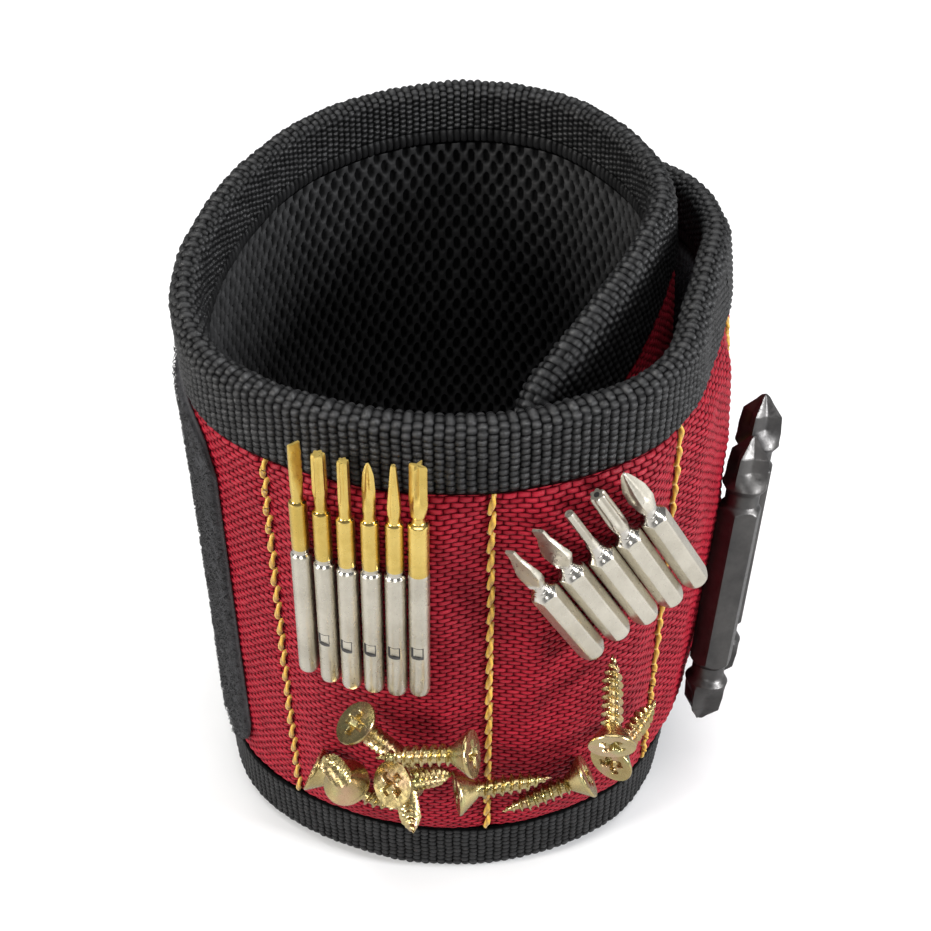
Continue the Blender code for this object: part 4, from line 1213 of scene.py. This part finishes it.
def hex_bit(name, across, rise, kind):
    right, up, out = local_axes(*RAFT_AT[:2])
    axis = right * math.sin(RAFT_LEAN) + up * math.cos(RAFT_LEAN)
    foot = Vector(point(*RAFT_AT)) + right * across + up * rise - axis * (HEX_L / 2)
    tip_from = HEX_BODY + 1.6

    def radius(height, angle):
        # a softened minimum of the hexagon and the cone
        sharpness = 22
        prism = np.exp(-sharpness * hexagon(angle, HEX_R))
        cone = np.exp(-sharpness * HEX_R * HEX_CONE(height))
        body = -np.log(prism + cone) / sharpness
        share = (height - tip_from) / (HEX_L - tip_from)
        tip = np.minimum(hex_tip(kind, share, angle) * HEX_R, np.where(share < 0.12, body, 99))
        return np.where(share > 0, tip, body)

    heights = levels(
        (0, 1.3, 10), (1.3, HEX_BODY - 0.1, 8), (HEX_BODY - 0.1, HEX_BODY + 3.0, 36),
        (HEX_BODY + 3.0, HEX_L, 34),
    )

    def mat_of(height):
        return 1 if HEX_BODY + 0.5 < height < HEX_BODY + 3.2 else 0

    matrix = frame_from(axis, axis.cross(out), foot)
    mats = [NICKEL, NICKEL_BRIGHT]
    obj = turned(name + "_detailed", heights, radius, matrix, 96, mats, mat_of)
    stand_in(obj, name, "hex_bits")
    if kind == "lobe":
        # a dark disc of painted shade for the hole in the middle of the tip
        ends = [HEX_L - 0.02, HEX_L + 0.03]
        hole_shade = turned(name + "_centre_hole_shade", ends, lambda h, a: 0.42 + 0 * h, matrix, 24, [GUN_AND_SHADE])
        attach(hole_shade, "hex_bits")


for number, spec in enumerate(HEX_BITS, start=1):
    hex_bit(f"hex_bit_{number}", *spec)

# ------------------------------------------------------------------ double-ended bits
# name, (along, z, offset) of the top end, and of a point below it on the axis
DOUBLE_BITS = (
    ("double_bit_front", (71.6, 65.6, 7.2), (85.0, 11.4, 7.9)),
    ("double_bit_rear", (63.0, 67.0, 8.2), (75.8, 12.4, 8.1)),
)
DOUBLE_R, DOUBLE_L = 3.75, 55.0
# distance from the middle over the length, radius over the hexagon's
DOUBLE_CONE = profile((
    (0, 1.02), (0.26, 1.02), (0.275, 0.86), (0.285, 0.74), (0.318, 0.74), (0.325, 0.78),
    (0.345, 0.98), (0.5, 1),
))


def double_radius(height, angle):
    away = np.abs(height) / DOUBLE_L
    cone = DOUBLE_CONE(away) * DOUBLE_R
    body = np.where(away > 0.322, cone, np.minimum(hexagon(angle, DOUBLE_R), cone))
    share = (away - 0.345) / 0.155
    stations = (0, 0.3, 0.62, 0.85, 0.97, 1.0)
    envelope = np.interp(share, stations, (0.98, 1.0, 0.92, 0.42, 0.20, 0.06)) * DOUBLE_R
    depth = np.interp(share, (0.0, 0.35, 1.0), (0.0, 0.44, 0.52))
    return np.where(share > 0, envelope * cross_cut(angle + 0.25, depth, 0.8), body)


def double_bit(name, top_at, foot_at):
    tip, foot = Vector(point(*top_at)), Vector(point(*foot_at))
    axis = (tip - foot).normalized()
    middle = tip - axis * (DOUBLE_L / 2)
    out = local_axes((top_at[0] + foot_at[0]) / 2, (top_at[1] + foot_at[1]) / 2)[2]
    neck, tip_from = 0.255 * DOUBLE_L, 0.36 * DOUBLE_L
    half = levels((0, neck, 10), (neck, tip_from, 34), (tip_from, DOUBLE_L / 2, 36))
    heights = np.unique(np.concatenate([-half, half]))
    matrix = frame_from(axis, axis.cross(out), middle)
    obj = turned(name + "_detailed", heights, double_radius, matrix, 72, [GUN_AND_SHADE])
    stand_in(obj, name, "double_bits")


for spec in DOUBLE_BITS:
    double_bit(*spec)

# ------------------------------------------------------------------ screws
# (along, z, offset) of the head, then the point's direction: shares of right, up and out
SCREWS = {
    "left": (
        (150.8, 27.9, 7.2, 0.92, -0.37, -0.13),
        (143.5, 34.8, 12.6, -0.02, 0.90, 0.42),
        (143.1, 44.6, 9.0, 0.50, -0.82, -0.26),
        (128.6, 45.3, 13.4, -0.94, -0.26, -0.20),
        (138.1, 37.6, 13.5, 0.50, -0.56, -0.66),
        (130.6, 29.3, 8.0, 0.95, 0.0, -0.20),
        (138.0, 28.2, 5.6, 0.26, 0.39, 0.88),
    ),
    "right": (
        (112.4, 26.4, 7.2, -0.83, -0.42, -0.24),
        (114.3, 45.5, 17.0, 0.43, 0.26, -0.86),
        (111.7, 34.4, 12.0, 0.85, 0.0, -0.53),
    ),
}
HEAD_R, THREAD_R, CORE_R, SCREW_L, THREAD_PITCH = 3.5, 1.72, 1.12, 15.0, 1.35
RECESS_ARM = 0.52  # half width of the cross recess's arms


def screw_head(angles, spin):
    """The head's face as rings, with a cross recess in it."""
    radii = np.concatenate([np.linspace(0.08, 2.1, 22), [2.5, 3.0, 3.3, 3.44]])
    radius, angle = np.meshgrid(radii, angles, indexing="ij")
    x, y = np.abs(radius * np.cos(angle + spin)), np.abs(radius * np.sin(angle + spin))
    far = np.maximum(x, y)
    arms = ease(np.minimum(x, y), RECESS_ARM + 0.12, RECESS_ARM - 0.05) * ease(far, 2.08, 1.85)
    centre = ease(radius, 1.0, 0.7)
    depth = np.maximum(arms * np.interp(far, (0, 1.9), (1.7, 0.55)), centre * 1.5)
    return np.stack([radius * np.cos(angle), radius * np.sin(angle), depth - 0.02], -1)


def screw_shank(angles):
    """Rim, cone, core with a coarse running thread, and point, as rings."""
    head, neck = [0.0, 0.10, 0.22, 0.55, 0.66], np.linspace(0.9, 3.0, 10)
    heights = np.concatenate([head, neck, np.arange(3.12, SCREW_L + 0.001, 0.11)])
    height, angle = np.meshgrid(heights, angles, indexing="ij")
    rim = (HEAD_R * 0.985, HEAD_R, HEAD_R, HEAD_R * 0.985, HEAD_R * 0.93, THREAD_R * 0.9, CORE_R)
    base = np.interp(height, (0, 0.10, 0.22, 0.50, 0.66, 2.9, 3.5), rim)
    core = np.interp(height, (3.2, 10.5, SCREW_L), (CORE_R, CORE_R * 0.95, 0.06))
    stations = (2.8, 3.6, 11.5, SCREW_L - 0.5, SCREW_L)
    crest = np.interp(height, stations, (0.0, 1.0, 1.0, 0.35, 0.0)) * (THREAD_R - CORE_R)
    turn = np.mod(height / THREAD_PITCH + angle / (2 * np.pi), 1.0)
    ridge = np.clip(1 - np.abs(turn - 0.5) / 0.24, 0, 1) ** 0.8
    radius = np.where(height < 3.2, np.maximum(base, core), core + crest * ridge)
    return np.stack([radius * np.cos(angle), radius * np.sin(angle), height], -1)


def screw(side, number, along, z, offset, *shares):
    name = f"screw_{side}_{number}"
    right, up, out = local_axes(along, z)
    axis = (right * shares[0] + up * shares[1] + out * shares[2]).normalized()
    hint = up if abs(axis.dot(up)) < 0.8 else right
    matrix = frame_from(axis, hint, point(along, z, offset))
    angles = np.linspace(0, 2 * np.pi, 72, endpoint=False)
    rows = np.concatenate([screw_head(angles, hashed(along, z, 1.0) * 6.28), screw_shank(angles)])
    obj = capped_body(name + "_detailed", rows, (1.7, SCREW_L + 0.05), matrix, [ZINC], 50)
    stand_in(obj, name, "screws_" + side)


for side, specs in SCREWS.items():
    for number, spec in enumerate(specs, start=1):
        screw(side, number, *spec)

for name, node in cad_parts.items():
    if name.startswith("magnet_"):
        for slot in node.material_slots:
            slot.material = MAGNET

# ------------------------------------------------------------------ studio, in metres
FLOOR_Z = float(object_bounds()[0][2]) - 0.00005
FLOOR_HALF = 12.0


def floor_material():
    """Pale to the camera and greyer to the light; far out it runs into the white backdrop."""
    material, nodes = new_material("pale_floor")
    cloud = nodes.remap(nodes.noise(scale=30.0, detail=4.0), (0.3, 0.7))
    pale = nodes.mix(cloud, (0.80, 0.80, 0.80), (0.84, 0.84, 0.84))
    seen = nodes.add("LightPath").outputs["Is Camera Ray"]
    away = nodes.add("VectorMath", {0: nodes.place()}, operation="LENGTH").outputs["Value"]
    nodes.principled({
        "Base Color": nodes.mix(seen, (0.42, 0.42, 0.42), pale),
        "Roughness": 0.6,
        "Emission Strength": nodes.math("MULTIPLY", nodes.remap(away, (0.26, 0.42)), seen),
        "Emission Color": (1, 1, 1),
    })
    material.cycles.emission_sampling = "NONE"
    return material


def add_object(name, data):
    obj = bpy.data.objects.new(name, data)
    bpy.context.scene.collection.objects.link(obj)
    return obj


floor_mesh = bpy.data.meshes.new("floor")
floor_corners = [
    (x * FLOOR_HALF, y * FLOOR_HALF, FLOOR_Z) for x, y in ((-1, -1), (1, -1), (1, 1), (-1, 1))
]
floor_mesh.from_pydata(floor_corners, [], [(0, 1, 2, 3)])
floor_mesh.materials.append(floor_material())
add_object("floor", floor_mesh)

world = bpy.data.worlds.new("studio")
bpy.context.scene.world = world
world.use_nodes = True
sky_nodes = Nodes(world.node_tree)
# bright to the camera, dim as a light
camera_ray = sky_nodes.add("LightPath").outputs["Is Camera Ray"]
sky_level = sky_nodes.remap(camera_ray, (0.0, 1.0), to=(0.20, 1.05))
sky_nodes.feed(world.node_tree.nodes["Background"], {0: (0.96, 0.97, 1.0), 1: sky_level})


def area(name, location, target, size, power, colour=(1, 1, 1)):
    data = bpy.data.lights.new(name, "AREA")
    data.shape = "RECTANGLE"
    data.size, data.size_y = size
    data.energy = power
    data.color = colour
    light = add_object(name, data)
    light.location = location
    light.rotation_euler = (Vector(target) - Vector(location)).to_track_quat("-Z", "Y").to_euler()


area(
    "left_softbox", location=(-0.55, -0.30, 0.32), target=(0, 0, 0.05),
    size=(0.16, 0.26), power=4.6, colour=(1.0, 0.98, 0.95),
)
area(
    "right_softbox", location=(0.55, -0.22, 0.30), target=(0, 0, 0.05),
    size=(0.15, 0.25), power=4.8, colour=(0.97, 0.98, 1.0),
)
sun = bpy.data.lights.new("overhead_panel", "SUN")
sun.energy = 2.7
sun.angle = math.radians(55)
add_object("overhead_panel", sun).rotation_euler = (math.radians(-9), 0, 0)
area("front_fill", location=(0.0, -0.60, 0.30), target=(0, 0, 0.04), size=(0.25, 0.2), power=0.8)

camera = bpy.data.cameras.new("photo_view")
camera.lens = 58.0
camera.sensor_width = 36.0
camera.clip_start = 0.01
camera.clip_end = 20.0
eye = add_object("photo_view", camera)
eye.location = (-PLAN_CENTRE[0] * MM_TO_M, -0.20087 - PLAN_CENTRE[1] * MM_TO_M, 0.21515)
eye.rotation_euler = (math.radians(50.0), 0.0, 0.0)
bpy.context.scene.camera = eye
bpy.context.scene.view_settings.view_transform = "Standard"
